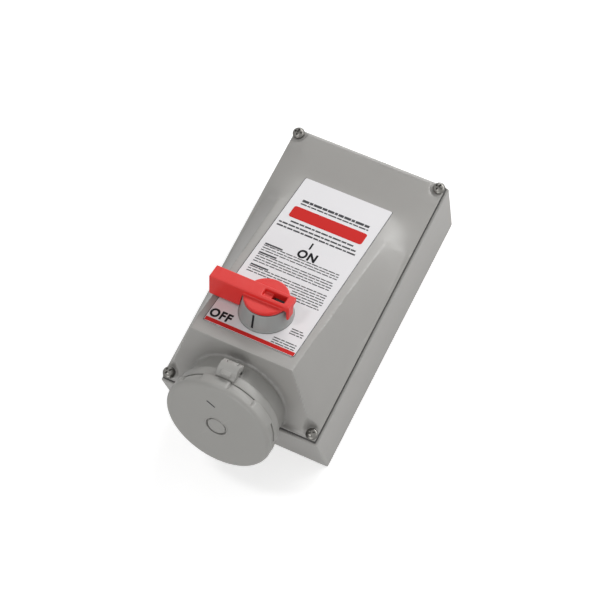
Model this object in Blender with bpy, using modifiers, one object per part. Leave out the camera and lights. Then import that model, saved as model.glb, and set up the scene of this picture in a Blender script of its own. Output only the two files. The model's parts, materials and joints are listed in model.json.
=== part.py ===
"""Interlocked receptacle box: a wall box with a wedge cover, a lever switch and a capped receptacle.

Metres, +Z up. The box lies on its back: X to the right, Y towards its top end, Z out of the wall.
"""

from math import atan2, cos, degrees, pi, radians, sin

import bmesh
import bpy
from mathutils import Matrix, Vector

# Clearances
FIT = 0.0003
LABEL_GAP = 0.0001

# Back box
BOX_WIDTH = 0.149
BOX_LENGTH = 0.259
BACK_LENGTH = 0.250
BOX_DEPTH = 0.064
BOX_WALL = 0.004
BACK_WALL = 0.005
BOX_EDGE = 0.0012
POST_RADIUS = 0.0062
MOUNT_HOLE_RADIUS = 0.003
MOUNT_HOLE_INSET_X = 0.024
MOUNT_HOLE_INSET_Y = 0.030

# Cover screws and inserts
SCREW_INSET = 0.0062
SCREW_HEAD_RADIUS = 0.0052
SCREW_HEAD_HEIGHT = 0.0038
SCREW_SHANK_RADIUS = 0.0016
SCREW_SLOT_WIDTH = 0.0012
SCREW_SLOT_DEPTH = 0.0012
INSERT_RADIUS = 0.0024
INSERT_LENGTH = 0.011
POCKET_RADIUS = 0.0082

# Cover gasket
GASKET_THICKNESS = 0.003
GASKET_SETBACK = 0.0017
GASKET_WIDTH = 0.0025

# Wedge cover
COVER_WALL = 0.0035
FLANGE_SETBACK = 0.0015
FLANGE_THICKNESS = 0.003
HEADER_RISE = 0.0025
HEADER_LENGTH = 0.0405
HEADER_WIDTH = 0.120
HEADER_SIDE_LENGTH = 0.028
HEADER_CORNER_LENGTH = 0.009
RIDGE_SETBACK = 0.0300
PANEL_END_SETBACK = 0.0361
COVER_RISE = 0.0683
RIDGE_WIDTH = 0.0966
PANEL_END_WIDTH = 0.1056
WALL_FOOT_WIDTH = 0.107
SKIRT_WIDTH = 0.143
SKIRT_STEPS = 16
COVER_EDGE = 0.0022

# Label on the panel
LABEL_WIDTH = 0.085
LABEL_LENGTH = 0.1850
LABEL_THICKNESS = 0.0004
LABEL_FROM_RIDGE = 0.0124

# Switch collar and handle, measured up from the panel
SWITCH_FROM_RIDGE = 0.0446
COLLAR_TOP_RADIUS = 0.0198
COLLAR_RADIUS = 0.0226
COLLAR_HEIGHT = 0.0170
COLLAR_BASE_RADIUS = 0.0234
COLLAR_BASE_THICKNESS = 0.0012
HUB_RADIUS = 0.0194
HUB_THICKNESS = 0.004
RIB_WIDTH = 0.014
RIB_HEIGHT = 0.0038
RIB_REACH = 0.0240
LEVER_LENGTH = 0.0505
LEVER_HEIGHT = 0.0215
PADLOCK_SLOT_LENGTH = 0.0125
PADLOCK_SLOT_WIDTH = 0.0075
PADLOCK_SLOT_LEAD = 0.0080
SOCKET_ROOF = 0.0012
TAB_WIDTH = 0.009
TAB_THICKNESS = 0.0024
TAB_DROP = 0.0070
HANDLE_EDGE = 0.0012

# Shaft and interlock
SHAFT_RADIUS = 0.004
SHAFT_SEAL_RADIUS = 0.001
CAM_RADIUS = 0.010
CAM_THICKNESS = 0.0025
BAR_WIDTH = 0.008
BAR_THICKNESS = 0.0025
BAR_LENGTH = 0.0225
BAR_TRAVEL = 0.006
PEG_RADIUS = 0.0015

# Switch body under the panel
SWITCH_WIDTH = 0.046
SWITCH_HEIGHT = 0.038
EAR_SPACING = 0.058
EAR_WIDTH = 0.012
EAR_THICKNESS = 0.003
BOSS_RADIUS = 0.0045
BOSS_HEIGHT = 0.006
TERMINAL_PITCH = 0.014
TERMINAL_ROW = 0.014
TERMINAL_SIZE = 0.008
TERMINAL_HEIGHT = 0.005
SMALL_SCREW_SHANK = 0.0015
SMALL_SCREW_HEAD = 0.003
SMALL_SCREW_HEAD_HEIGHT = 0.002

# Receptacle on the cover's front face, measured out along its axis
AXIS_BELOW_PANEL = 0.0571
SEAT_STEP = 0.0012
SEAT_RADIUS = 0.043
RECEPTACLE_GASKET = 0.0012
HOUSING_RADIUS = 0.044
HOUSING_LENGTH = 0.018
HOUSING_FLOOR = 0.0045
BARREL_RADIUS = 0.036
BARREL_END = 0.034
SOCKET_RADIUS = 0.0325
CARRIER_RADIUS = 0.027
CARRIER_END = 0.026
SPIGOT_RADIUS = 0.0155
SPIGOT_REACH = 0.006
CONTACT_CIRCLE = 0.0105
CONTACT_RADIUS = 0.003
CONTACT_BORE = 0.002
CONTACT_TAIL = 0.003
CONTACT_END = 0.024
CONTACT_DEPTH = 0.016
HOUSING_SCREW_CIRCLE = 0.030
HOUSING_SCREW_ANGLES = (-100, -50, 50, 100)
BAYONET_PIN_RADIUS = 0.002
BAYONET_PIN_REACH = 0.0388
BAYONET_PIN_PLACE = 0.032

# Hinged ring and turning cap
HINGE_OUT = 0.014
HINGE_UP = 0.049
HINGE_PIN_RADIUS = 0.0019
HINGE_KNUCKLE_RADIUS = 0.0044
HINGE_ARM_WIDTH = 0.0094
HINGE_EAR_WIDTH = 0.0038
RING_START = 0.0216
RING_END = 0.0274
RING_INNER = 0.0414
RING_OUTER = 0.047
CAP_RADIUS = 0.049
CAP_END = 0.0409
CAP_FACE = 0.0034
CAP_SKIRT = 0.005
CAP_EDGE = 0.0025
CAP_TUBE_INNER = 0.040
CAP_TUBE_WALL = 0.001
CAP_LIP_START = 0.0191
CAP_LIP_REACH = 0.0021
CAP_RECESSES = 6
CAP_RECESS_ANGLE = 22.5
CAP_RECESS_WIDTH = 0.0255
CAP_RECESS_DEPTH = 0.0018
CAP_BUTTON_RADIUS = 0.0098
CAP_BUTTON_GROOVE = 0.0012
CAP_BUTTON_DEPTH = 0.0008
CAP_GASKET_THICKNESS = 0.0026
LUG_INNER = 0.0376
LUG_START = 0.0272
LUG_THICKNESS = 0.0018
LUG_WIDTH = 0.012

# Wiring and earth
WIRE_RADIUS = 0.0016
EARTH_BAR = (0.012, 0.034, 0.008)
EARTH_BAR_PLACE = (0.040, -0.060)

# Conduit entry in the top end wall
PLUG_HOLE_RADIUS = 0.014
PLUG_FLANGE_RADIUS = 0.018
PLUG_FLANGE_THICKNESS = 0.0028
PLUG_LENGTH = 0.016
LOCKNUT_RADIUS = 0.019
LOCKNUT_THICKNESS = 0.004

FLAT_ANGLE = 0.5
SHARP_ANGLE = 35
ROUND_STEPS = 48
SMALL_STEPS = 20

# Heights and places worked out from the sizes above
HALF_WIDTH = BOX_WIDTH / 2
HALF_LENGTH = BOX_LENGTH / 2
FLANGE_BOTTOM = BOX_DEPTH + GASKET_THICKNESS + 2 * FIT
FLANGE_TOP = FLANGE_BOTTOM + FLANGE_THICKNESS
RIDGE_Y = -HALF_LENGTH + RIDGE_SETBACK
RIDGE_Z = FLANGE_TOP + COVER_RISE
PANEL_END_Y = HALF_LENGTH - PANEL_END_SETBACK
SLOPE = atan2(COVER_RISE, PANEL_END_Y - RIDGE_Y)
PANEL_UP = Vector((0, cos(SLOPE), -sin(SLOPE)))
PANEL_OUT = Vector((0, sin(SLOPE), cos(SLOPE)))
FRONT_OUT = -PANEL_UP
RIDGE = Vector((0, RIDGE_Y, RIDGE_Z))
SCREW_X = HALF_WIDTH - SCREW_INSET
SCREW_Y = HALF_LENGTH - SCREW_INSET
RIM_CORNER = Vector((0, -HALF_LENGTH, BOX_DEPTH))
SEAT = max(0, (RIM_CORNER - RIDGE).dot(FRONT_OUT)) + SEAT_STEP
GASKET_FACE = SEAT + FIT + RECEPTACLE_GASKET + FIT
FLOOR_FACE = GASKET_FACE + HOUSING_FLOOR
CARRIER_START = FLOOR_FACE + FIT
LEVER_TOP = COLLAR_HEIGHT + 2 * FIT + HUB_THICKNESS + RIB_HEIGHT
HUB_BOTTOM = COLLAR_HEIGHT + 2 * FIT
SOCKET_TOP = HUB_BOTTOM + HUB_THICKNESS - SOCKET_ROOF
SWITCH_TOP = -(COVER_WALL + BOSS_HEIGHT + FIT)
SWITCH_BOTTOM = SWITCH_TOP - SWITCH_HEIGHT
BAR_BOTTOM = SWITCH_TOP + FIT
CAM_BOTTOM = BAR_BOTTOM + BAR_THICKNESS + FIT


def frame(place, x_axis, y_axis, z_axis):
    """A placement from an origin and three axes."""
    matrix = Matrix((x_axis, y_axis, z_axis)).transposed().to_4x4()
    matrix.translation = place
    return matrix


X_AXIS = Vector((1, 0, 0))
WORLD = Matrix.Identity(4)
SWITCH_PLACE = RIDGE + SWITCH_FROM_RIDGE * PANEL_UP
PANEL_FRAME = frame(SWITCH_PLACE, X_AXIS, PANEL_UP, PANEL_OUT)
RECEPTACLE_FRAME = frame(RIDGE - AXIS_BELOW_PANEL * PANEL_OUT, X_AXIS, PANEL_OUT, FRONT_OUT)
HINGE_FRAME = RECEPTACLE_FRAME @ Matrix.Translation((0, HINGE_UP, HINGE_OUT))


def clear_scene():
    """Remove every object of the scene that the script starts in."""
    for old in list(bpy.data.objects):
        bpy.data.objects.remove(old, do_unlink=True)


def collection(name):
    """A new collection linked to the scene."""
    made = bpy.data.collections.new(name)
    bpy.context.scene.collection.children.link(made)
    return made


clear_scene()
PARTS = collection("interlocked_receptacle_box")
CUTTERS = collection("cutters")


def material(name, colour, roughness, metallic=0.0):
    """A Principled material."""
    made = bpy.data.materials.new(name)
    made.use_nodes = True
    shader = made.node_tree.nodes["Principled BSDF"]
    shader.inputs["Base Color"].default_value = (*colour, 1)
    shader.inputs["Roughness"].default_value = roughness
    shader.inputs["Metallic"].default_value = metallic
    made.diffuse_color = (*colour, 1)
    return made


GREY = (0.34, 0.335, 0.325)
CAP_GREY = (0.33, 0.33, 0.32)
RED = (0.72, 0.045, 0.04)
WHITE = (0.85, 0.84, 0.85)
BLACK = (0.02, 0.02, 0.02)
IVORY = (0.62, 0.60, 0.52)
BRASS = (0.62, 0.46, 0.20)
STEEL = (0.55, 0.55, 0.56)
GREEN = (0.03, 0.22, 0.06)
LEAD_COLOURS = (BLACK, (0.45, 0.03, 0.03), (0.03, 0.06, 0.35))


def link(mesh_object, place, finish, group):
    """Place an object and give it its finish and collection."""
    group.objects.link(mesh_object)
    mesh_object.matrix_world = place
    if finish:
        mesh_object.data.materials.append(finish)
    return mesh_object


def from_bmesh(name, bm, place, finish=None, group=None):
    """An object from a bmesh, in the cutters' collection unless it has a finish."""
    mesh = bpy.data.meshes.new(name)
    bmesh.ops.recalc_face_normals(bm, faces=bm.faces)
    bm.to_mesh(mesh)
    bm.free()
    made = bpy.data.objects.new(name, mesh)
    return link(made, place, finish, group or (PARTS if finish else CUTTERS))


def add_box(bm, low, high):
    """Add a box between two corners."""
    low, high = Vector(low), Vector(high)
    size = Matrix.Diagonal((*(high - low), 1))
    bmesh.ops.create_cube(bm, size=1, matrix=Matrix.Translation((low + high) / 2) @ size)


def add_cylinder(bm, radius, start, end, at=(0, 0), steps=SMALL_STEPS, axis=WORLD):
    """Add a capped cylinder along the local Z of the axis matrix."""
    middle = Matrix.Translation((at[0], at[1], (start + end) / 2))
    bmesh.ops.create_cone(bm, cap_ends=True, segments=steps, radius1=radius, radius2=radius,
                          depth=end - start, matrix=axis @ middle)


def box(name, low, high, place=WORLD, finish=None):
    """A box object."""
    bm = bmesh.new()
    add_box(bm, low, high)
    return from_bmesh(name, bm, place, finish)


def cylinder(name, radius, start, end, place=WORLD, finish=None, at=(0, 0), steps=SMALL_STEPS):
    """A cylinder object along its frame's Z."""
    bm = bmesh.new()
    add_cylinder(bm, radius, start, end, at, steps)
    return from_bmesh(name, bm, place, finish)


def hull(name, points, place=WORLD, finish=None, rounding=0.0):
    """A convex solid around points, repeated on the other side of X = 0, rounded above its base."""
    bm = bmesh.new()
    for x, y, z in points:
        for side in (-1, 1):
            bm.verts.new((side * x, y, z))
    result = bmesh.ops.convex_hull(bm, input=bm.verts)
    inside = [item for item in result["geom_interior"] if isinstance(item, bmesh.types.BMVert)]
    bmesh.ops.delete(bm, geom=inside, context="VERTS")
    flat = radians(FLAT_ANGLE)
    bmesh.ops.dissolve_limit(bm, angle_limit=flat, verts=bm.verts, edges=bm.edges)
    if rounding:
        round_above_base(bm, rounding)
    return from_bmesh(name, bm, place, finish)


def round_above_base(bm, rounding):
    """Round the sharp edges of a shape that stand clear of its base."""
    base = min(vert.co.z for vert in bm.verts)
    sharp = [edge for edge in bm.edges if edge.calc_face_angle() > radians(SHARP_ANGLE)
             and max(vert.co.z for vert in edge.verts) > base + rounding]
    bmesh.ops.bevel(bm, geom=sharp, offset=rounding, segments=3, profile=0.5, affect="EDGES",
                    clamp_overlap=True)


def turned(name, profile, place, finish=None, closed=False, steps=ROUND_STEPS):
    """A profile in X and Z, listed from its top down, turned about its frame's Z."""
    bm = bmesh.new()
    verts = [bm.verts.new((x, 0, z)) for x, z in profile]
    for start, end in zip(verts, verts[1:]):
        bm.edges.new((start, end))
    if closed:
        bm.edges.new((verts[-1], verts[0]))
    mesh = bpy.data.meshes.new(name)
    bm.to_mesh(mesh)
    bm.free()
    made = link(bpy.data.objects.new(name, mesh), place, finish, PARTS if finish else CUTTERS)
    screw = made.modifiers.new("Turn", "SCREW")
    screw.steps = steps
    screw.render_steps = steps
    screw.use_merge_vertices = True
    screw.merge_threshold = 0.00001
    return made


def ring(name, inner, outer, start, end, place, finish=None, steps=ROUND_STEPS):
    """A flat ring about its frame's Z."""
    profile = [(outer, end), (outer, start), (inner, start), (inner, end)]
    return turned(name, profile, place, finish, closed=True, steps=steps)


def combine(target, tool, operation):
    """Boolean a tool into a target and hide the tool."""
    step = target.modifiers.new(tool.name, "BOOLEAN")
    step.operation = operation
    step.solver = "EXACT"
    step.object = tool
    tool.hide_render = True
    tool.display_type = "WIRE"


def cut(target, *tools):
    """Take tools out of a target."""
    for tool in tools:
        combine(target, tool, "DIFFERENCE")


def join(target, *tools):
    """Add tools to a target."""
    for tool in tools:
        combine(target, tool, "UNION")


def round_edges(target, width, segments=2, angle=SHARP_ANGLE):
    """Round a target's edges that are sharper than an angle."""
    bevel = target.modifiers.new("Rounded edges", "BEVEL")
    bevel.width = width
    bevel.segments = segments
    bevel.limit_method = "ANGLE"
    bevel.angle_limit = radians(angle)
    bevel.use_clamp_overlap = True


def corners(x, y):
    """The four corners of a rectangle centred on the origin."""
    return [(side_x * x, side_y * y) for side_x in (-1, 1) for side_y in (-1, 1)]


def holes(name, places, radius, start, end, place=WORLD):
    """One cutter of round holes."""
    bm = bmesh.new()
    for at in places:
        add_cylinder(bm, radius, start, end, at)
    return from_bmesh(name, bm, place)


def end_wall(height):
    """Distance of the drafted end walls from the middle at a height."""
    return (BACK_LENGTH + (BOX_LENGTH - BACK_LENGTH) * height / BOX_DEPTH) / 2


def drafted_box(name, inset, base, top, finish=None):
    """The box's outline between two heights, shrunk by an inset."""
    points = []
    for height in (base, top):
        for side in (-1, 1):
            points.append((HALF_WIDTH - inset, side * (end_wall(height) - inset), height))
    return hull(name, points, finish=finish)


def make_back_box(finish):
    """The open box with its corner posts, mounting holes and conduit hole."""
    over = BOX_DEPTH + BOX_WALL
    made = drafted_box("back_box", 0, 0, BOX_DEPTH, finish)
    round_edges(made, BOX_EDGE)
    cut(made, drafted_box("box_cavity", BOX_WALL, BACK_WALL, over))
    post_base = BACK_WALL / 2
    posts = holes("corner_posts", corners(SCREW_X, SCREW_Y), POST_RADIUS, post_base, BOX_DEPTH - FIT)
    combine(posts, drafted_box("post_limit", BOX_WALL / 2, 0, over), "INTERSECT")
    join(made, posts)
    insert_floor = BOX_DEPTH - INSERT_LENGTH - 4 * FIT
    sockets = holes("insert_sockets", corners(SCREW_X, SCREW_Y), INSERT_RADIUS + FIT, insert_floor, over)
    mounts = corners(HALF_WIDTH - MOUNT_HOLE_INSET_X, BACK_LENGTH / 2 - MOUNT_HOLE_INSET_Y)
    fixing = holes("mounting_holes", mounts, MOUNT_HOLE_RADIUS, -BACK_WALL, 2 * BACK_WALL)
    entry = cylinder("conduit_hole", PLUG_HOLE_RADIUS + FIT, -2 * BOX_WALL, BOX_WALL, CONDUIT_FRAME)
    cut(made, sockets, fixing, entry)
    return made


DRAFT_OUT = Vector((0, BOX_DEPTH, (BACK_LENGTH - BOX_LENGTH) / 2)).normalized()
CONDUIT_PLACE = Vector((0, end_wall(BOX_DEPTH / 2), BOX_DEPTH / 2))
CONDUIT_FRAME = frame(CONDUIT_PLACE, X_AXIS, DRAFT_OUT.cross(X_AXIS), DRAFT_OUT)


def make_conduit_plug(plug_finish, nut_finish):
    """A blanking plug in the conduit hole, and its locknut inside."""
    plug = turned("conduit_plug", [
        (0, FIT + PLUG_FLANGE_THICKNESS),
        (PLUG_FLANGE_RADIUS, FIT + PLUG_FLANGE_THICKNESS),
        (PLUG_FLANGE_RADIUS, FIT),
        (PLUG_HOLE_RADIUS, FIT),
        (PLUG_HOLE_RADIUS, -PLUG_LENGTH),
        (0, -PLUG_LENGTH),
    ], CONDUIT_FRAME, plug_finish)
    nut_face = -(BOX_WALL + FIT)
    nut = cylinder("conduit_locknut", LOCKNUT_RADIUS, nut_face - LOCKNUT_THICKNESS, nut_face,
                   CONDUIT_FRAME, nut_finish, steps=6)
    bore = cylinder("locknut_bore", PLUG_HOLE_RADIUS + FIT, nut_face - 2 * LOCKNUT_THICKNESS, 0,
                    CONDUIT_FRAME, steps=ROUND_STEPS)
    cut(nut, bore)
    return plug, nut


def make_gasket(finish):
    """The seal between the box rim and the cover flange."""
    base = BOX_DEPTH + FIT
    top = base + GASKET_THICKNESS
    outer_x = HALF_WIDTH - GASKET_SETBACK
    outer_y = HALF_LENGTH - GASKET_SETBACK
    made = box("cover_gasket", (-outer_x, -outer_y, base), (outer_x, outer_y, top), finish=finish)
    inner_x = outer_x - GASKET_WIDTH
    inner_y = outer_y - GASKET_WIDTH
    cut(made, box("gasket_opening", (-inner_x, -inner_y, 0), (inner_x, inner_y, 2 * top)))
    return made


def wedge_hollow():
    """The space inside the wedge, one wall under its panel and front."""
    top = RIDGE - COVER_WALL * (PANEL_OUT + FRONT_OUT)
    base = FLANGE_BOTTOM - FLANGE_THICKNESS
    foot_y = top.y - (top.z - base) * sin(SLOPE) / cos(SLOPE)
    end_y = top.y + (top.z - base) * cos(SLOPE) / sin(SLOPE)
    return hull("cover_hollow", [
        (RIDGE_WIDTH / 2 - COVER_WALL, top.y, top.z),
        (PANEL_END_WIDTH / 2 - COVER_WALL, end_y, base),
        (WALL_FOOT_WIDTH / 2 - COVER_WALL, foot_y, base),
        (WALL_FOOT_WIDTH / 2 - COVER_WALL, PANEL_END_Y - COVER_WALL, base),
    ])


def wedge_shell(base, root):
    """The wedge: a panel, a front and two twisted side walls that run out to the flange's edge."""
    rise = RIDGE_Z - base
    crown_start = Vector((RIDGE_WIDTH / 2, RIDGE_Y, RIDGE_Z))
    crown_end = Vector((PANEL_END_WIDTH / 2, RIDGE_Y + rise * cos(SLOPE) / sin(SLOPE), base))
    foot_start = Vector((SKIRT_WIDTH / 2, RIDGE_Y - rise * sin(SLOPE) / cos(SLOPE), base))
    foot_end = Vector((SKIRT_WIDTH / 2, crown_end.y, base))
    bm = bmesh.new()
    loops = []
    for step in range(SKIRT_STEPS + 1):
        share = step / SKIRT_STEPS
        crown = crown_start.lerp(crown_end, share)
        foot = foot_start.lerp(foot_end, share)
        half = [crown, foot, Vector((foot.x, foot.y, root))]
        mirrored = [Vector((-spot.x, spot.y, spot.z)) for spot in reversed(half)]
        loops.append([bm.verts.new(spot) for spot in half + mirrored])
    for start, end in zip(loops, loops[1:]):
        for index in range(len(start)):
            bm.faces.new((start[index - 1], start[index], end[index], end[index - 1]))
    bm.faces.new(loops[0])
    bm.faces.new(reversed(loops[-1]))
    bmesh.ops.recalc_face_normals(bm, faces=bm.faces)
    round_above_base(bm, COVER_EDGE)
    return from_bmesh("wedge", bm, WORLD)


def make_cover(finish):
    """The wedge cover with its flange, header, skirt, seat and openings."""
    edge_x = HALF_WIDTH - FLANGE_SETBACK
    edge_y = HALF_LENGTH - FLANGE_SETBACK
    made = box("front_cover", (-edge_x, -edge_y, FLANGE_BOTTOM), (edge_x, edge_y, FLANGE_TOP), finish=finish)
    header_base = (FLANGE_BOTTOM + FLANGE_TOP) / 2
    header_top = FLANGE_TOP + HEADER_RISE
    header_start = edge_y - HEADER_LENGTH
    side_start = edge_y - HEADER_SIDE_LENGTH
    header = hull("header", [
        (PANEL_END_WIDTH / 2, header_start, header_top),
        (HEADER_WIDTH / 2, edge_y - HEADER_CORNER_LENGTH, header_top),
        (HEADER_WIDTH / 2, edge_y - HEADER_RISE, header_top),
        (PANEL_END_WIDTH / 2, header_start, header_base),
        (SKIRT_WIDTH / 2, side_start, FLANGE_TOP),
        (SKIRT_WIDTH / 2, edge_y - HEADER_RISE / 2, FLANGE_TOP),
        (SKIRT_WIDTH / 2, side_start, header_base),
        (SKIRT_WIDTH / 2, edge_y - HEADER_RISE / 2, header_base),
    ])
    shell = wedge_shell(header_base, (FLANGE_BOTTOM + header_base) / 2)
    seat = cylinder("receptacle_seat", SEAT_RADIUS, -COVER_WALL, SEAT, RECEPTACLE_FRAME, steps=ROUND_STEPS)
    below = box("below_flange", (-BOX_WIDTH, -BOX_LENGTH, -BOX_DEPTH), (BOX_WIDTH, BOX_LENGTH, header_base))
    cut(seat, below)
    round_edges(made, FLANGE_THICKNESS / 3)
    join(made, header, shell, seat)
    pockets = holes("screw_pockets", corners(SCREW_X, SCREW_Y), POCKET_RADIUS, FLANGE_TOP, RIDGE_Z)
    cut(made, pockets)
    hollow = wedge_hollow()
    boss_places = [(-EAR_SPACING / 2, 0), (EAR_SPACING / 2, 0)]
    bosses = holes("switch_bosses", boss_places, BOSS_RADIUS, SWITCH_TOP + FIT, -COVER_WALL / 2, PANEL_FRAME)
    threads = holes("boss_threads", boss_places, SMALL_SCREW_SHANK + FIT, SWITCH_TOP, -COVER_WALL, PANEL_FRAME)
    shaft = cylinder("shaft_hole", SHAFT_RADIUS + FIT, SWITCH_TOP, COLLAR_HEIGHT, PANEL_FRAME)
    spigot = cylinder("spigot_hole", SPIGOT_RADIUS + 2 * FIT, -2 * COVER_WALL, 2 * SEAT, RECEPTACLE_FRAME,
                      steps=ROUND_STEPS)
    fixings = holes("housing_screw_holes", housing_screw_places(), SMALL_SCREW_SHANK + FIT,
                    -2 * COVER_WALL, 2 * SEAT, RECEPTACLE_FRAME)
    screws = holes("cover_screw_holes", corners(SCREW_X, SCREW_Y), SCREW_SHANK_RADIUS + FIT,
                   FLANGE_BOTTOM - FLANGE_THICKNESS, FLANGE_TOP + HEADER_RISE)
    cut(made, hollow)
    join(made, bosses)
    cut(made, threads, shaft, spigot, fixings, screws)
    return made


def housing_screw_places():
    """Screw places round the receptacle axis, by angle from the top."""
    return [(HOUSING_SCREW_CIRCLE * sin(radians(turn)), HOUSING_SCREW_CIRCLE * cos(radians(turn)))
            for turn in HOUSING_SCREW_ANGLES]


def screw_profile(head_radius, head_height, shank_radius, shank_end):
    """A headed screw with its seat at zero, listed from the top."""
    return [
        (0, head_height),
        (head_radius * 0.7, head_height),
        (head_radius, head_height * 0.55),
        (head_radius, 0),
        (shank_radius, 0),
        (shank_radius, shank_end),
        (0, shank_end),
    ]


def make_cover_fasteners(screw_finish, insert_finish):
    """Four cover screws with cross slots, and their inserts in the box posts."""
    seat = FLANGE_TOP + FIT
    shank_end = BOX_DEPTH - INSERT_LENGTH * 0.8 - seat
    profile = screw_profile(SCREW_HEAD_RADIUS, SCREW_HEAD_HEIGHT, SCREW_SHANK_RADIUS, shank_end)
    for number, (x, y) in enumerate(corners(SCREW_X, SCREW_Y), 1):
        place = Matrix.Translation((x, y, seat))
        screw = turned(f"cover_screw_{number}", profile, place, screw_finish, steps=SMALL_STEPS)
        bm = bmesh.new()
        reach = SCREW_HEAD_RADIUS * 0.6
        floor = SCREW_HEAD_HEIGHT - SCREW_SLOT_DEPTH
        half = SCREW_SLOT_WIDTH / 2
        add_box(bm, (-reach, -half, floor), (reach, half, 2 * SCREW_HEAD_HEIGHT))
        cut(screw, from_bmesh(f"slot_{number}", bm, place))
        bm = bmesh.new()
        add_box(bm, (-half, -reach, floor), (half, reach, 2 * SCREW_HEAD_HEIGHT))
        cut(screw, from_bmesh(f"cross_slot_{number}", bm, place))
        ring(f"insert_{number}", SCREW_SHANK_RADIUS + FIT, INSERT_RADIUS, BOX_DEPTH - FIT - INSERT_LENGTH,
             BOX_DEPTH - 2 * FIT, Matrix.Translation((x, y, 0)), insert_finish, steps=SMALL_STEPS)


def make_label(finish):
    """The printed sheet on the panel, with a hole for the collar."""
    start = LABEL_FROM_RIDGE - SWITCH_FROM_RIDGE
    low = (-LABEL_WIDTH / 2, start, LABEL_GAP)
    high = (LABEL_WIDTH / 2, start + LABEL_LENGTH, LABEL_GAP + LABEL_THICKNESS)
    made = box("panel_label", low, high, PANEL_FRAME, finish)
    hole = cylinder("label_hole", COLLAR_BASE_RADIUS + FIT, -LABEL_WIDTH, LABEL_WIDTH, PANEL_FRAME,
                    steps=ROUND_STEPS)
    cut(made, hole)
    return made


def make_collar(finish):
    """The fixed collar round the switch shaft."""
    bore = SHAFT_RADIUS + 2 * SHAFT_SEAL_RADIUS + 2 * FIT
    return turned("switch_collar", [
        (COLLAR_TOP_RADIUS, COLLAR_HEIGHT + FIT),
        (COLLAR_RADIUS, COLLAR_BASE_THICKNESS),
        (COLLAR_BASE_RADIUS, COLLAR_BASE_THICKNESS),
        (COLLAR_BASE_RADIUS, FIT),
        (bore, FIT),
        (bore, COLLAR_HEIGHT + FIT),
    ], PANEL_FRAME, finish, closed=True)


def make_shaft_seal(finish):
    """The O-ring between collar and shaft."""
    bpy.ops.mesh.primitive_torus_add(
        major_radius=SHAFT_RADIUS + SHAFT_SEAL_RADIUS + FIT, minor_radius=SHAFT_SEAL_RADIUS,
        major_segments=SMALL_STEPS, minor_segments=8)
    made = bpy.context.object
    made.name = "shaft_seal"
    for group in list(made.users_collection):
        group.objects.unlink(made)
    lift = Matrix.Translation((0, 0, SHAFT_SEAL_RADIUS + 2 * FIT))
    return link(made, PANEL_FRAME @ lift, finish, PARTS)


def collar_clearance():
    """The room that the turning handle leaves round the collar."""
    top = HUB_BOTTOM + FIT
    return turned("collar_clearance", [
        (0, top),
        (COLLAR_TOP_RADIUS + 2 * FIT, top),
        (COLLAR_RADIUS + 2 * FIT, COLLAR_BASE_THICKNESS),
        (0, COLLAR_BASE_THICKNESS),
    ], PANEL_FRAME)


def make_handle(finish):
    """The lever handle: hub, rib with padlock slot, lever and side tab. It points to -X when off."""
    made = cylinder("switch_handle", HUB_RADIUS, HUB_BOTTOM, HUB_BOTTOM + HUB_THICKNESS, PANEL_FRAME, finish,
                    steps=ROUND_STEPS)
    half = RIB_WIDTH / 2
    inside = HUB_BOTTOM + HUB_THICKNESS / 2
    bm = bmesh.new()
    add_box(bm, (-LEVER_LENGTH + half, -half, inside), (RIB_REACH, half, LEVER_TOP))
    rib = from_bmesh("handle_rib", bm, PANEL_FRAME)
    lever = box("handle_lever", (-LEVER_LENGTH, -half, LEVER_TOP - LEVER_HEIGHT),
                (-half, half, LEVER_TOP), PANEL_FRAME)
    tab = box("handle_tab", (RIB_REACH - TAB_THICKNESS, -half, HUB_BOTTOM - TAB_DROP),
              (RIB_REACH, TAB_WIDTH - half, LEVER_TOP - RIB_HEIGHT / 2), PANEL_FRAME)
    join(made, rib, lever, tab)
    round_edges(made, HANDLE_EDGE)
    slot_start = SHAFT_RADIUS + 4 * FIT
    slot_end = slot_start + PADLOCK_SLOT_LENGTH
    slot_side = PADLOCK_SLOT_WIDTH / 2
    slot = box("padlock_slot", (slot_start, -slot_side, HUB_BOTTOM + FIT),
               (slot_end, slot_side, 2 * LEVER_TOP), PANEL_FRAME)
    lead = box("padlock_slot_lead", (slot_start - PADLOCK_SLOT_LEAD, -slot_side, HUB_BOTTOM + HUB_THICKNESS + FIT),
               (slot_end, slot_side, 2 * LEVER_TOP), PANEL_FRAME)
    socket = cylinder("shaft_socket", SHAFT_RADIUS + FIT, 0, SOCKET_TOP, PANEL_FRAME)
    cut(made, slot, lead, socket, collar_clearance())
    return made


def make_shaft_and_cam(shaft_finish, cam_finish):
    """The shaft from handle to switch, and the cam on it."""
    shaft_end = SWITCH_TOP - FIT
    cylinder("drive_shaft", SHAFT_RADIUS, shaft_end, SOCKET_TOP - FIT, PANEL_FRAME, shaft_finish)
    cam = cylinder("interlock_cam", CAM_RADIUS, CAM_BOTTOM, CAM_BOTTOM + CAM_THICKNESS, PANEL_FRAME, cam_finish,
                   steps=ROUND_STEPS)
    cut(cam, cylinder("cam_bore", SHAFT_RADIUS + FIT, SWITCH_TOP, 0, PANEL_FRAME))


def make_interlock_bar(finish):
    """The bar that the cam drives towards the receptacle, with its follower peg."""
    bar_start = -(SHAFT_RADIUS + 4 * FIT)
    made = box("interlock_bar", (-BAR_WIDTH / 2, bar_start - BAR_LENGTH, BAR_BOTTOM),
               (BAR_WIDTH / 2, bar_start, BAR_BOTTOM + BAR_THICKNESS), PANEL_FRAME, finish)
    peg_y = -(CAM_RADIUS + PEG_RADIUS + FIT)
    peg = cylinder("follower_peg", PEG_RADIUS, BAR_BOTTOM + BAR_THICKNESS / 2, CAM_BOTTOM + CAM_THICKNESS,
                   PANEL_FRAME, at=(0, peg_y))
    join(made, peg)
    return made


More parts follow.
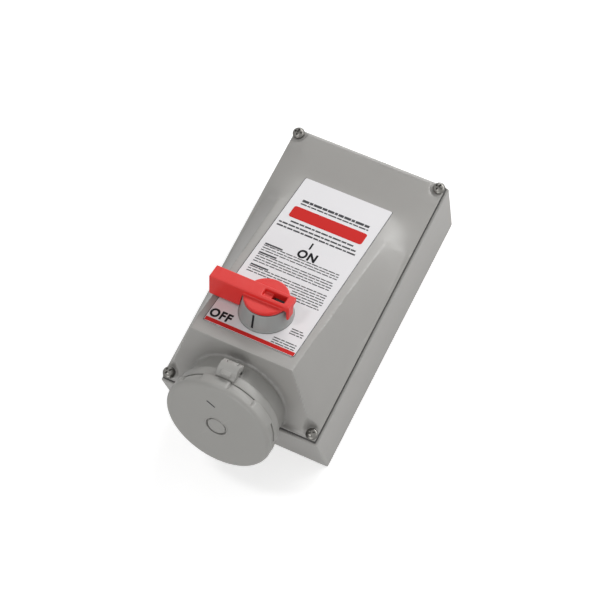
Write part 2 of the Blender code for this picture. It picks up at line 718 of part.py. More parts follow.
def make_switch(body_finish, terminal_finish, screw_finish):
    """The switch body with its ears, six terminals and two fixing screws."""
    half = SWITCH_WIDTH / 2
    made = box("switch_body", (-half, -half, SWITCH_BOTTOM), (half, half, SWITCH_TOP), PANEL_FRAME, body_finish)
    ear_x = EAR_SPACING / 2 + EAR_WIDTH / 2
    ears = box("switch_ears", (-ear_x, -EAR_WIDTH / 2, SWITCH_TOP - EAR_THICKNESS),
               (ear_x, EAR_WIDTH / 2, SWITCH_TOP), PANEL_FRAME)
    join(made, ears)
    ear_places = [(-EAR_SPACING / 2, 0), (EAR_SPACING / 2, 0)]
    drilled = holes("ear_holes", ear_places, SMALL_SCREW_SHANK + FIT, SWITCH_TOP - 2 * EAR_THICKNESS, 0,
                    PANEL_FRAME)
    shaft = cylinder("switch_shaft_hole", SHAFT_RADIUS + FIT, SWITCH_TOP - 3 * FIT, 0, PANEL_FRAME)
    cut(made, drilled, shaft)
    for number, place in enumerate(terminal_places(), 1):
        x, y = place
        size = TERMINAL_SIZE / 2
        top = SWITCH_BOTTOM - FIT
        box(f"switch_terminal_{number}", (x - size, y - size, top - TERMINAL_HEIGHT), (x + size, y + size, top),
            PANEL_FRAME, terminal_finish)
    head_seat = SWITCH_TOP - EAR_THICKNESS - FIT
    profile = screw_profile(SMALL_SCREW_HEAD, SMALL_SCREW_HEAD_HEIGHT, SMALL_SCREW_SHANK,
                            -(EAR_THICKNESS + BOSS_HEIGHT * 0.8))
    for number, (x, y) in enumerate(ear_places, 1):
        place = PANEL_FRAME @ Matrix.Translation((x, y, head_seat)) @ Matrix.Rotation(pi, 4, "X")
        turned(f"switch_screw_{number}", profile, place, screw_finish, steps=SMALL_STEPS)


def terminal_places():
    """Three load terminals, then three line terminals, under the switch."""
    return [(column * TERMINAL_PITCH, row * TERMINAL_ROW) for row in (-1, 1) for column in (-1, 0, 1)]


def make_housing(finish, gasket_finish, screw_finish):
    """The receptacle housing with its hinge ears and bayonet pins, its gasket and its screws."""
    made = turned("receptacle_housing", [
        (BARREL_RADIUS, BARREL_END),
        (BARREL_RADIUS, HOUSING_LENGTH),
        (HOUSING_RADIUS, HOUSING_LENGTH),
        (HOUSING_RADIUS, GASKET_FACE),
        (SPIGOT_RADIUS + 2 * FIT, GASKET_FACE),
        (SPIGOT_RADIUS + 2 * FIT, FLOOR_FACE),
        (SOCKET_RADIUS, FLOOR_FACE),
        (SOCKET_RADIUS, BARREL_END),
    ], RECEPTACLE_FRAME, finish, closed=True)
    root = HOUSING_RADIUS - HINGE_KNUCKLE_RADIUS / 2
    for side in (-1, 1):
        inner = HINGE_ARM_WIDTH / 2 + FIT
        middle = side * (inner + HINGE_EAR_WIDTH / 2)
        bm = bmesh.new()
        half = HINGE_EAR_WIDTH / 2
        knuckle = Matrix.Translation((middle, HINGE_UP, HINGE_OUT)) @ Matrix.Rotation(pi / 2, 4, "Y")
        add_cylinder(bm, HINGE_KNUCKLE_RADIUS, -half, half, axis=knuckle)
        add_box(bm, (middle - half, root, HINGE_OUT - HINGE_KNUCKLE_RADIUS * 0.98),
                (middle + half, root + HINGE_KNUCKLE_RADIUS, HOUSING_LENGTH))
        join(made, solid_hull(f"hinge_ear_{'left' if side < 0 else 'right'}", bm, RECEPTACLE_FRAME))
        pin_axis = Matrix.Translation((0, 0, BAYONET_PIN_PLACE)) @ Matrix.Rotation(side * pi / 2, 4, "Y")
        bm = bmesh.new()
        add_cylinder(bm, BAYONET_PIN_RADIUS, SOCKET_RADIUS + FIT, BAYONET_PIN_REACH, axis=pin_axis)
        join(made, from_bmesh(f"bayonet_pin_{'left' if side < 0 else 'right'}", bm, RECEPTACLE_FRAME))
    bore = hinge_cylinder("ear_bore", HINGE_PIN_RADIUS + FIT, BOX_WIDTH / 2)
    tapped = holes("tapped_holes", housing_screw_places(), SMALL_SCREW_SHANK + FIT, 0, FLOOR_FACE - 2 * FIT,
                   RECEPTACLE_FRAME)
    cut(made, bore, tapped)
    gasket = ring("receptacle_gasket", SPIGOT_RADIUS + 2 * FIT, SEAT_RADIUS, SEAT + FIT, GASKET_FACE - FIT,
                  RECEPTACLE_FRAME, gasket_finish)
    drilled = holes("gasket_screw_holes", housing_screw_places(), SMALL_SCREW_SHANK + FIT, 0, FLOOR_FACE,
                    RECEPTACLE_FRAME)
    cut(gasket, drilled)
    shank = FLOOR_FACE - 4 * FIT + COVER_WALL
    profile = screw_profile(SMALL_SCREW_HEAD, SMALL_SCREW_HEAD_HEIGHT, SMALL_SCREW_SHANK, -shank)
    for number, (x, y) in enumerate(housing_screw_places(), 1):
        turn = Matrix.Translation((x, y, -COVER_WALL - FIT)) @ Matrix.Rotation(pi, 4, "X")
        turned(f"housing_screw_{number}", profile, RECEPTACLE_FRAME @ turn, screw_finish, steps=SMALL_STEPS)
    return made


def solid_hull(name, bm, place):
    """The convex hull of a bmesh's points, with nothing left inside it."""
    points = [vert.co.copy() for vert in bm.verts]
    bm.free()
    clean = bmesh.new()
    for point in points:
        clean.verts.new(point)
    result = bmesh.ops.convex_hull(clean, input=clean.verts)
    inside = [item for item in result["geom_interior"] if isinstance(item, bmesh.types.BMVert)]
    bmesh.ops.delete(clean, geom=inside, context="VERTS")
    return from_bmesh(name, clean, place)


def hinge_cylinder(name, radius, half_length, finish=None):
    """A cylinder along the hinge axis."""
    along = HINGE_FRAME @ Matrix.Rotation(pi / 2, 4, "Y")
    return cylinder(name, radius, -half_length, half_length, along, finish)


def make_contacts(carrier_finish, contact_finish):
    """The insulating carrier and its four contact sleeves."""
    carrier = turned("contact_carrier", [
        (0, CARRIER_END),
        (CARRIER_RADIUS, CARRIER_END),
        (CARRIER_RADIUS, CARRIER_START),
        (SPIGOT_RADIUS, CARRIER_START),
        (SPIGOT_RADIUS, -SPIGOT_REACH),
        (0, -SPIGOT_REACH),
    ], RECEPTACLE_FRAME, carrier_finish)
    drilled = holes("contact_holes", contact_places(), CONTACT_RADIUS + FIT, -2 * SPIGOT_REACH, 2 * CARRIER_END,
                    RECEPTACLE_FRAME)
    cut(carrier, drilled)
    tail = -SPIGOT_REACH - CONTACT_TAIL
    for number, (x, y) in enumerate(contact_places(), 1):
        place = RECEPTACLE_FRAME @ Matrix.Translation((x, y, 0))
        sleeve = cylinder(f"contact_sleeve_{number}", CONTACT_RADIUS, tail, CONTACT_END, place, contact_finish)
        cut(sleeve, cylinder(f"sleeve_bore_{number}", CONTACT_BORE, CONTACT_END - CONTACT_DEPTH, 2 * CONTACT_END,
                             place))


def contact_places():
    """Four contacts round the receptacle axis: upper left, upper right, lower left, lower right."""
    reach = CONTACT_CIRCLE * cos(pi / 4)
    return [(-reach, reach), (reach, reach), (-reach, -reach), (reach, -reach)]


def make_lid_ring(finish):
    """The hinged ring that carries the cap, with its arm and knuckle."""
    made = ring("lid_ring", RING_INNER, RING_OUTER, RING_START, RING_END, RECEPTACLE_FRAME, finish)
    half = HINGE_ARM_WIDTH / 2
    arm_low = HINGE_UP - HINGE_KNUCKLE_RADIUS
    arm = box("lid_arm", (-half, arm_low, HINGE_OUT), (half, HINGE_UP + HINGE_KNUCKLE_RADIUS, RING_END),
              RECEPTACLE_FRAME)
    knuckle = hinge_cylinder("lid_knuckle", HINGE_KNUCKLE_RADIUS, half)
    join(made, arm, knuckle)
    cut(made, hinge_cylinder("knuckle_bore", HINGE_PIN_RADIUS + FIT, 2 * half))
    return made


def make_cap(finish, gasket_finish):
    """The turning cap: face, grip skirt, inner tube with a snap lip, bayonet lugs, and its gasket."""
    face_inside = CAP_END - CAP_FACE
    skirt_start = RING_END + FIT
    skirt_inner = CAP_RADIUS - CAP_SKIRT
    tube_outer = CAP_TUBE_INNER + CAP_TUBE_WALL
    groove_outer = CAP_BUTTON_RADIUS + CAP_BUTTON_GROOVE
    groove_floor = CAP_END - CAP_BUTTON_DEPTH
    lip_end = RING_START - FIT
    made = turned("lid_cap", [
        (0, CAP_END),
        (CAP_BUTTON_RADIUS, CAP_END),
        (CAP_BUTTON_RADIUS, groove_floor),
        (groove_outer, groove_floor),
        (groove_outer, CAP_END),
        (CAP_RADIUS - CAP_EDGE, CAP_END),
        (CAP_RADIUS - CAP_EDGE * 0.3, CAP_END - CAP_EDGE * 0.3),
        (CAP_RADIUS, CAP_END - CAP_EDGE),
        (CAP_RADIUS, skirt_start),
        (skirt_inner, skirt_start),
        (skirt_inner, face_inside),
        (tube_outer, face_inside),
        (tube_outer, lip_end),
        (tube_outer + CAP_LIP_REACH, lip_end),
        (tube_outer, CAP_LIP_START),
        (CAP_TUBE_INNER, CAP_LIP_START),
        (CAP_TUBE_INNER, face_inside),
        (0, face_inside),
    ], RECEPTACLE_FRAME, finish)
    bm = bmesh.new()
    for number in range(CAP_RECESSES):
        turn = Matrix.Rotation(-radians(CAP_RECESS_ANGLE + number * 360 / CAP_RECESSES), 4, "Z")
        low = Vector((-CAP_RECESS_WIDTH / 2, CAP_RADIUS - CAP_RECESS_DEPTH, skirt_start - CAP_SKIRT))
        high = Vector((CAP_RECESS_WIDTH / 2, CAP_RADIUS + CAP_SKIRT, CAP_END - CAP_EDGE))
        size = Matrix.Diagonal((*(high - low), 1))
        bmesh.ops.create_cube(bm, size=1, matrix=turn @ Matrix.Translation((low + high) / 2) @ size)
    cut(made, from_bmesh("cap_recesses", bm, RECEPTACLE_FRAME))
    bm = bmesh.new()
    for side in (-1, 1):
        low = Vector((-LUG_WIDTH / 2, LUG_INNER, LUG_START))
        high = Vector((LUG_WIDTH / 2, tube_outer - CAP_TUBE_WALL / 3, LUG_START + LUG_THICKNESS))
        size = Matrix.Diagonal((*(high - low), 1))
        turn = Matrix.Rotation(pi / 4 + side * pi / 2, 4, "Z")
        bmesh.ops.create_cube(bm, size=1, matrix=turn @ Matrix.Translation((low + high) / 2) @ size)
    join(made, from_bmesh("bayonet_lugs", bm, RECEPTACLE_FRAME))
    seal_end = face_inside - FIT
    ring("lid_gasket", SOCKET_RADIUS - FIT, BARREL_RADIUS + FIT, seal_end - CAP_GASKET_THICKNESS, seal_end,
         RECEPTACLE_FRAME, gasket_finish)
    return made


def wire(name, points, finish):
    """A lead along points in world space."""
    curve = bpy.data.curves.new(name, "CURVE")
    curve.dimensions = "3D"
    curve.bevel_depth = WIRE_RADIUS
    curve.bevel_resolution = 2
    curve.use_fill_caps = True
    path = curve.splines.new("POLY")
    path.points.add(len(points) - 1)
    for spot, point in zip(path.points, points):
        spot.co = (*point, 1)
    return link(bpy.data.objects.new(name, curve), WORLD, finish, PARTS)


def make_wiring(lead_finishes, earth_finish, bar_finish, screw_finish):
    """Three leads from switch to contacts, and the earth lead with its bar and screw."""
    tail_y = -SWITCH_FROM_RIDGE + SPIGOT_REACH + CONTACT_TAIL + FIT
    terminal_end = SWITCH_BOTTOM - FIT - TERMINAL_HEIGHT - FIT
    tails = [(x, tail_y, y - AXIS_BELOW_PANEL) for x, y in contact_places()]
    drop = terminal_end - 3 * WIRE_RADIUS
    order = (0, 2, 1)
    loads = [terminal_places()[number] for number in (0, 1, 2)]
    for number, ((x, y), tail) in enumerate(zip(loads, (tails[index] for index in order)), 1):
        depth = min(drop, tail[2] - 2 * WIRE_RADIUS) if number == 2 else drop
        local = [
            (x, y, terminal_end),
            (x, y, depth + WIRE_RADIUS),
            (x, y - WIRE_RADIUS, depth),
            ((x + tail[0]) / 2, (y + tail_y) / 2, (depth + tail[2]) / 2 - WIRE_RADIUS),
            (tail[0], tail_y + 2 * WIRE_RADIUS, tail[2]),
            (tail[0], tail_y, tail[2]),
        ]
        wire(f"load_lead_{number}", [PANEL_FRAME @ Vector(point) for point in local], lead_finishes[number - 1])
    bar_x, bar_y = EARTH_BAR_PLACE
    width, length, height = EARTH_BAR
    base = BACK_WALL + FIT
    box("earth_bar", (bar_x - width / 2, bar_y - length / 2, base),
        (bar_x + width / 2, bar_y + length / 2, base + height), finish=bar_finish)
    top = base + height + FIT
    screw_place = Matrix.Translation((bar_x, bar_y + length / 4, top))
    cylinder("earth_screw", SMALL_SCREW_HEAD, 0, SMALL_SCREW_HEAD_HEIGHT, screw_place, screw_finish)
    start = PANEL_FRAME @ Vector(tails[3])
    inward = PANEL_UP * 4 * WIRE_RADIUS
    end = Vector((bar_x, bar_y - length / 4, top))
    middle = Vector(((start.x + end.x) / 2, start.y + 6 * WIRE_RADIUS, (start.z + end.z) / 2))
    wire("earth_lead", [start, start + inward, middle, end + Vector((0, 0, 4 * WIRE_RADIUS)), end], earth_finish)


def main():
    """Build every part."""
    grey = material("grey_plastic", GREY, 0.45)
    cap_grey = material("cap_plastic", CAP_GREY, 0.5)
    red = material("red_plastic", RED, 0.35)
    white = material("label_sheet", WHITE, 0.5)
    rubber = material("black_rubber", BLACK, 0.8)
    ivory = material("ivory_insulator", IVORY, 0.5)
    black = material("black_plastic", BLACK, 0.45)
    brass = material("brass", BRASS, 0.3, 1.0)
    steel = material("steel", STEEL, 0.25, 1.0)
    green = material("earth_insulation", GREEN, 0.5)
    leads = [material(f"lead_insulation_{number}", colour, 0.5) for number, colour in enumerate(LEAD_COLOURS, 1)]
    make_back_box(grey)
    make_conduit_plug(grey, steel)
    make_gasket(rubber)
    make_cover(grey)
    make_cover_fasteners(steel, brass)
    make_label(white)
    make_collar(cap_grey)
    make_shaft_seal(rubber)
    make_handle(red)
    make_shaft_and_cam(steel, ivory)
    make_interlock_bar(steel)
    make_switch(black, brass, steel)
    make_housing(cap_grey, rubber, steel)
    make_contacts(ivory, brass)
    make_lid_ring(cap_grey)
    make_cap(cap_grey, rubber)
    pin_half = HINGE_ARM_WIDTH / 2 + FIT + HINGE_EAR_WIDTH
    hinge_cylinder("hinge_pin", HINGE_PIN_RADIUS, pin_half, steel)
    make_wiring(leads, green, brass, steel)
    print(f"panel slope {degrees(SLOPE):.2f} degrees, seat {SEAT * 1000:.2f} mm")


main()
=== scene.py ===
"""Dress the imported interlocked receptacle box: finishes, printed label, turned pieces, light and camera.

Metres, +Z up. The box lies on its back with X to the right, Y to its top end and Z out of the wall.
"""

from __future__ import annotations

import itertools
import json
import logging
import math
from dataclasses import dataclass
from enum import Enum
from typing import Callable

import bmesh
import bpy
from mathutils import Matrix, Vector

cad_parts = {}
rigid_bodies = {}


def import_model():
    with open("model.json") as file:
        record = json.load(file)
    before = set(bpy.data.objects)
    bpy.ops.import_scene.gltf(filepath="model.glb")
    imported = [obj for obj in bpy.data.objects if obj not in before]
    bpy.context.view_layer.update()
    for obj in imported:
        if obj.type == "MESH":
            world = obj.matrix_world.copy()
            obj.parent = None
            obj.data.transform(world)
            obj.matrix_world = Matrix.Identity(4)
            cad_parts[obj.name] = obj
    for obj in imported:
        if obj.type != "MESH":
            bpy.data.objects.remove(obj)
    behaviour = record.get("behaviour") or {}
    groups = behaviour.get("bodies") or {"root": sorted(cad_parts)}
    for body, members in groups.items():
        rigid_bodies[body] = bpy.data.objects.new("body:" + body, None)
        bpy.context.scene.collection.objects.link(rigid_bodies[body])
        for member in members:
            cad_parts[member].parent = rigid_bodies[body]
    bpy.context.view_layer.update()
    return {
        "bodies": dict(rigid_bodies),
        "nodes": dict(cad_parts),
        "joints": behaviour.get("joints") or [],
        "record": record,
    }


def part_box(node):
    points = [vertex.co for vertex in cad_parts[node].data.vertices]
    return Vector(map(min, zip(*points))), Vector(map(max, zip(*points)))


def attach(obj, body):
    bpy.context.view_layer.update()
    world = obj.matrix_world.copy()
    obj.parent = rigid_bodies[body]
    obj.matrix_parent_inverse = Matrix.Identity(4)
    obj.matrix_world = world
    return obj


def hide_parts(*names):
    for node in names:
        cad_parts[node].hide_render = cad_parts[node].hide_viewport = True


LOG = logging.getLogger("receptacle_box")
Point = tuple[float, float]
Place = tuple[float, float, float]
Colour = tuple[float, float, float]
Socket = bpy.types.NodeSocket
Tree = bpy.types.NodeTree
Item = bpy.types.Object
Shape = bmesh.types.BMesh
COLOUR = "NodeSocketColor"
VALUE = "NodeSocketFloat"
SMOOTH_ANGLE = math.radians(32)
SMOOTH_FACTOR = 0.5
MERGE_DISTANCE = 0.000005
CORNER_SHARE = 0.45
ROUND_STEPS = 3
ROD_EASE = 0.12
ROD_EASE_STEPS = 2
QUARTER_TURN = math.pi / 2
NOISE_MIDDLE = 0.5
GRAIN_DETAIL = 3.0
DRIFT_SCALE = 26.0
DRIFT_DETAIL = 5.0
WEAR_STARTS = 0.53
WEAR_FULL = 0.64
WEAR_SCALE = 180.0
WEAR_DETAIL = 4.0
DUST_COLOUR = (0.62, 0.6, 0.57, 1)
DUST_SCALE = 60.0
DUST_DETAIL = 6.0
BUMP_DEPTH = 0.0002


class Body(str, Enum):
    """The frame's bodies that new pieces ride on."""

    BOX = "box"
    HANDLE = "handle"
    LID = "lid"
    CAP = "cap"


class Slot(str, Enum):
    """The record's material slots named alongside new pieces; nothing reads them."""

    GREY = "grey_plastic"
    CAP = "cap_plastic"
    RED = "red_plastic"
    LABEL = "label_sheet"
    BLACK = "black_plastic"
    STEEL = "steel"


def new_group(name: str, inputs: dict[str, str], outputs: dict[str, str]) -> Tree:
    """Make an empty shader node group.

    Args:
        name: Group name.
        inputs: Socket name to its socket type.
        outputs: Socket name to its socket type.

    Returns:
        The node group with its two interface nodes.
    """
    tree = bpy.data.node_groups.new(name, "ShaderNodeTree")
    for way, sockets in (("INPUT", inputs), ("OUTPUT", outputs)):
        for label, kind in sockets.items():
            tree.interface.new_socket(label, in_out=way, socket_type=kind)
    tree.nodes.new("NodeGroupInput").name = "In"
    tree.nodes.new("NodeGroupOutput").name = "Out"
    return tree


def feed(tree: Tree, value: Socket | float, target: Socket) -> None:
    """Link a socket into an input, or set the input to a constant.

    Args:
        tree: The node tree.
        value: The socket or the constant.
        target: The input.
    """
    if isinstance(value, Socket):
        tree.links.new(value, target)
    else:
        target.default_value = value


def math_node(tree: Tree, operation: str, *values: Socket | float, clamp: bool = False) -> Socket:
    """Add a math node.

    Args:
        tree: The node tree.
        operation: Blender's name for what it does.
        *values: Sockets or constants for its inputs, in order.
        clamp: Whether to keep the result between 0 and 1.

    Returns:
        Its output.
    """
    node = tree.nodes.new("ShaderNodeMath")
    node.operation = operation
    node.use_clamp = clamp
    for value, target in zip(values, node.inputs):
        feed(tree, value, target)
    return node.outputs[0]


def noise(tree: Tree, scale: Socket | float, detail: float) -> Socket:
    """Add noise in object coordinates.

    Args:
        tree: The node tree.
        scale: Its scale.
        detail: Its octaves.

    Returns:
        Its value.
    """
    coords = tree.nodes.new("ShaderNodeTexCoord")
    node = tree.nodes.new("ShaderNodeTexNoise")
    node.inputs["Detail"].default_value = detail
    feed(tree, scale, node.inputs["Scale"])
    tree.links.new(coords.outputs["Object"], node.inputs["Vector"])
    return node.outputs["Fac"]


@dataclass(frozen=True)
class Effects:
    """Shader node groups that several finishes share."""

    grain: Tree
    wear: Tree
    dust: Tree

    @classmethod
    def build(cls) -> "Effects":
        """Build every shared group once."""
        return cls(cls.moulded_grain(), cls.overlay("edge_wear", cls.edges, WEAR_SCALE, WEAR_DETAIL),
                   cls.overlay("settled_dust", cls.upward, DUST_SCALE, DUST_DETAIL))

    @staticmethod
    def moulded_grain() -> Tree:
        """Fine moulded texture with slow colour and gloss drift.

        Returns:
            A group that puts out a colour, a roughness and a height.
        """
        tree = new_group("moulded_grain", {
            "Colour": COLOUR, "Drift": VALUE, "Roughness": VALUE, "Roughness Spread": VALUE,
            "Grain Scale": VALUE,
        }, {"Colour": COLOUR, "Roughness": VALUE, "Height": VALUE})
        given, result = tree.nodes["In"].outputs, tree.nodes["Out"].inputs
        fine = noise(tree, given["Grain Scale"], GRAIN_DETAIL)
        slow = noise(tree, DRIFT_SCALE, DRIFT_DETAIL)
        centred = math_node(tree, "SUBTRACT", slow, NOISE_MIDDLE)
        shift = math_node(tree, "MULTIPLY_ADD", centred, given["Drift"], 1.0)
        tint = tree.nodes.new("ShaderNodeVectorMath")
        tint.operation = "SCALE"
        tree.links.new(given["Colour"], tint.inputs[0])
        tree.links.new(shift, tint.inputs["Scale"])
        gloss = math_node(tree, "MULTIPLY_ADD", centred, given["Roughness Spread"], given["Roughness"])
        tree.links.new(tint.outputs[0], result["Colour"])
        tree.links.new(gloss, result["Roughness"])
        tree.links.new(fine, result["Height"])
        return tree

    @staticmethod
    def overlay(name: str, cover: Callable[[Tree], Socket], scale: float, detail: float) -> Tree:
        """Mix a second colour into a colour, in broken patches.

        Args:
            name: Group name.
            cover: Adds the nodes that say where the second colour lies.
            scale: Scale of the patches.
            detail: Octaves of the patches.

        Returns:
            A group that puts out a colour.
        """
        inputs = {"Colour": COLOUR, "Second Colour": COLOUR, "Amount": VALUE}
        tree = new_group(name, inputs, {"Colour": COLOUR})
        given, result = tree.nodes["In"].outputs, tree.nodes["Out"].inputs
        patches = math_node(tree, "MULTIPLY", cover(tree), noise(tree, scale, detail), clamp=True)
        mask = math_node(tree, "MULTIPLY", patches, given["Amount"], clamp=True)
        blend = tree.nodes.new("ShaderNodeMix")
        blend.data_type = "RGBA"
        tree.links.new(mask, blend.inputs["Factor"])
        tree.links.new(given["Colour"], blend.inputs[6])
        tree.links.new(given["Second Colour"], blend.inputs[7])
        tree.links.new(blend.outputs[2], result["Colour"])
        return tree

    @staticmethod
    def edges(tree: Tree) -> Socket:
        """Add a mask along convex edges.

        Args:
            tree: The group that gets it.

        Returns:
            The mask.
        """
        shape = tree.nodes.new("ShaderNodeNewGeometry")
        edge = tree.nodes.new("ShaderNodeMapRange")
        edge.inputs["From Min"].default_value = WEAR_STARTS
        edge.inputs["From Max"].default_value = WEAR_FULL
        tree.links.new(shape.outputs["Pointiness"], edge.inputs["Value"])
        return edge.outputs["Result"]

    @staticmethod
    def upward(tree: Tree) -> Socket:
        """Add a mask of faces that look up.

        Args:
            tree: The group that gets it.

        Returns:
            The mask.
        """
        shape = tree.nodes.new("ShaderNodeNewGeometry")
        split = tree.nodes.new("ShaderNodeSeparateXYZ")
        tree.links.new(shape.outputs["Normal"], split.inputs[0])
        return split.outputs["Z"]


@dataclass(frozen=True)
class Finish:
    """One surface finish and how its detail is laid on."""

    name: str
    colour: Colour
    roughness: float
    metallic: float = 0.0
    spread: float = 0.08
    drift: float = 0.06
    grain_scale: float = 1600.0
    bump: float = 0.12
    worn: Colour = (0.7, 0.7, 0.7)
    wear: float = 0.25
    dust: float = 0.06
    gloss: float = 0.5

    def build(self, effects: Effects) -> bpy.types.Material:
        """Make the material.

        Args:
            effects: The shared node groups.

        Returns:
            A Principled material.
        """
        made = bpy.data.materials.new(self.name)
        made.use_nodes = True
        nodes, links = made.node_tree.nodes, made.node_tree.links
        shader = nodes["Principled BSDF"]
        shader.inputs["Metallic"].default_value = self.metallic
        shader.inputs["Specular IOR Level"].default_value = self.gloss
        grain = self.placed(nodes, effects.grain, {
            "Colour": (*self.colour, 1), "Drift": self.drift, "Roughness": self.roughness,
            "Roughness Spread": self.spread, "Grain Scale": self.grain_scale})
        wear = self.placed(nodes, effects.wear, {"Second Colour": (*self.worn, 1), "Amount": self.wear})
        dust = self.placed(nodes, effects.dust, {"Second Colour": DUST_COLOUR, "Amount": self.dust})
        links.new(grain.outputs["Colour"], wear.inputs["Colour"])
        links.new(wear.outputs["Colour"], dust.inputs["Colour"])
        links.new(dust.outputs["Colour"], shader.inputs["Base Color"])
        links.new(grain.outputs["Roughness"], shader.inputs["Roughness"])
        bump = nodes.new("ShaderNodeBump")
        bump.inputs["Strength"].default_value = self.bump
        bump.inputs["Distance"].default_value = BUMP_DEPTH
        links.new(grain.outputs["Height"], bump.inputs["Height"])
        links.new(bump.outputs["Normal"], shader.inputs["Normal"])
        return made

    @staticmethod
    def placed(nodes: bpy.types.Nodes, tree: Tree, values: dict[str, object]) -> bpy.types.Node:
        """Place a node group in a material and set its inputs.

        Args:
            nodes: The material's nodes.
            tree: The group.
            values: Input name to value.

        Returns:
            The group's node.
        """
        node = nodes.new("ShaderNodeGroup")
        node.node_tree = tree
        for name, value in values.items():
            node.inputs[name].default_value = value
        return node


INK = {"bump": 0.03, "wear": 0.0, "dust": 0.0, "gloss": 0.1}
BODY_GREY = Finish("satin_grey_moulding", (0.335, 0.327, 0.313), 0.33, spread=0.07, worn=(0.56, 0.55, 0.535))
CAP_GREY = Finish("cap_grey_moulding", (0.315, 0.31, 0.295), 0.42, spread=0.1, worn=(0.5, 0.495, 0.48))
COLLAR_GREY = Finish("collar_grey_moulding", (0.3, 0.31, 0.305), 0.34, worn=(0.5, 0.51, 0.5))
HANDLE_RED = Finish("handle_red_moulding", (0.72, 0.026, 0.022), 0.36, worn=(0.84, 0.16, 0.13), wear=0.3,
                    gloss=0.3)
LABEL_WHITE = Finish("label_white_film", (0.78, 0.77, 0.785), 0.6, drift=0.03, grain_scale=900, bump=0.04,
                     wear=0.0, dust=0.03, gloss=0.1)
PRINT_RED = Finish("label_red_ink", (0.58, 0.026, 0.023), 0.65, drift=0.05, **INK)
PRINT_BLACK = Finish("label_black_ink", (0.014, 0.014, 0.016), 0.7, **INK)
# Grey print for the label's border and ruled lines; on the cap the same finish is painted shade standing in
# for an engraved tick.
GREY_INK_AND_GROOVE_SHADE = Finish("grey_ink_and_groove_shade", (0.07, 0.07, 0.075), 0.7, **INK)
SEAL_BLACK = Finish("dark_seal_rubber", (0.045, 0.044, 0.043), 0.75, grain_scale=700, bump=0.3, wear=0.1,
                    worn=(0.08, 0.08, 0.08), dust=0.12)
SWITCH_BLACK = Finish("black_switch_moulding", (0.02, 0.02, 0.022), 0.4, worn=(0.1, 0.1, 0.1))
INSULATOR = Finish("ivory_insulator", (0.6, 0.57, 0.49), 0.45, worn=(0.72, 0.7, 0.63))
BRASS = Finish("turned_brass", (0.72, 0.52, 0.22), 0.34, metallic=1.0, drift=0.12, grain_scale=420, bump=0.1,
               worn=(0.9, 0.76, 0.45))
STEEL = Finish("plated_steel", (0.62, 0.61, 0.6), 0.2, metallic=1.0, drift=0.15, spread=0.1, grain_scale=500,
               bump=0.08, worn=(0.85, 0.85, 0.85), dust=0.02)
SCREW_STEEL = Finish("dark_screw_steel", (0.17, 0.165, 0.155), 0.33, metallic=1.0, drift=0.2, spread=0.08,
                     grain_scale=500, bump=0.08, worn=(0.5, 0.49, 0.47), dust=0.02)
LEAD_BLACK = Finish("black_lead_jacket", (0.02, 0.02, 0.02), 0.5, worn=(0.08, 0.08, 0.08))
LEAD_RED = Finish("red_lead_jacket", (0.45, 0.03, 0.03), 0.5, worn=(0.6, 0.1, 0.1))
LEAD_BLUE = Finish("blue_lead_jacket", (0.03, 0.06, 0.35), 0.5, worn=(0.1, 0.15, 0.5))
LEAD_GREEN = Finish("green_lead_jacket", (0.03, 0.22, 0.06), 0.5, worn=(0.1, 0.4, 0.12))
FINISHES = (BODY_GREY, CAP_GREY, COLLAR_GREY, HANDLE_RED, LABEL_WHITE, PRINT_RED, PRINT_BLACK, GREY_INK_AND_GROOVE_SHADE,
            SEAL_BLACK, SWITCH_BLACK, INSULATOR, BRASS, STEEL, SCREW_STEEL, LEAD_BLACK, LEAD_RED, LEAD_BLUE,
            LEAD_GREEN)

NODE_FINISHES = {
    "back_box": BODY_GREY, "conduit_plug": BODY_GREY, "conduit_locknut": STEEL, "cover_gasket": SEAL_BLACK,
    "insert": BRASS, "shaft_seal": SEAL_BLACK, "drive_shaft": STEEL, "interlock_cam": INSULATOR,
    "interlock_bar": STEEL, "switch_body": SWITCH_BLACK, "switch_terminal": BRASS, "switch_screw": STEEL,
    "receptacle_gasket": SEAL_BLACK, "housing_screw": STEEL, "contact_carrier": INSULATOR,
    "contact_sleeve": BRASS, "lid_gasket": SEAL_BLACK, "hinge_pin": STEEL, "load_lead_1": LEAD_BLACK,
    "load_lead_2": LEAD_RED, "load_lead_3": LEAD_BLUE, "earth_lead": LEAD_GREEN, "earth_bar": BRASS,
    "earth_screw": STEEL,
}


def add_object(name: str, data: bpy.types.ID) -> Item:
    """Add an object to the scene.

    Args:
        name: Object name.
        data: Its mesh, curve, lamp or camera.

    Returns:
        The object.
    """
    made = bpy.data.objects.new(name, data)
    bpy.context.scene.collection.objects.link(made)
    return made


def shape_object(name: str, bm: Shape) -> Item:
    """Turn a shape into an object in the scene, and free the shape.

    Args:
        name: Name of the object and its mesh.
        bm: The shape.

    Returns:
        The object.
    """
    mesh = bpy.data.meshes.new(name)
    bm.to_mesh(mesh)
    bm.free()
    return add_object(name, mesh)


def evaluated_shape(item: Item) -> Shape:
    """Read an object's shape with its modifiers applied.

    Args:
        item: The object.

    Returns:
        A new shape.
    """
    ready = item.evaluated_get(bpy.context.evaluated_depsgraph_get())
    result = bmesh.new()
    result.from_mesh(ready.to_mesh())
    return result


def discard(*items: Item) -> None:
    """Remove helper objects."""
    for item in items:
        bpy.data.objects.remove(item, do_unlink=True)


def bevel(bm: Shape, edges: list[bmesh.types.BMEdge], offset: float,
          segments: int) -> list[bmesh.types.BMFace]:
    """Round some edges of a shape.

    Args:
        bm: The shape.
        edges: The edges.
        offset: How far the rounding reaches.
        segments: Segments across it.

    Returns:
        The new faces.
    """
    made = bmesh.ops.bevel(bm, geom=edges, offset=offset, segments=segments, profile=0.5, affect="EDGES",
                           material=-1)
    return made["faces"]


def edges_of(verts: list[bmesh.types.BMVert]) -> list[bmesh.types.BMEdge]:
    """The edges at some points, each once."""
    return list(dict.fromkeys(edge for vert in verts for edge in vert.link_edges))


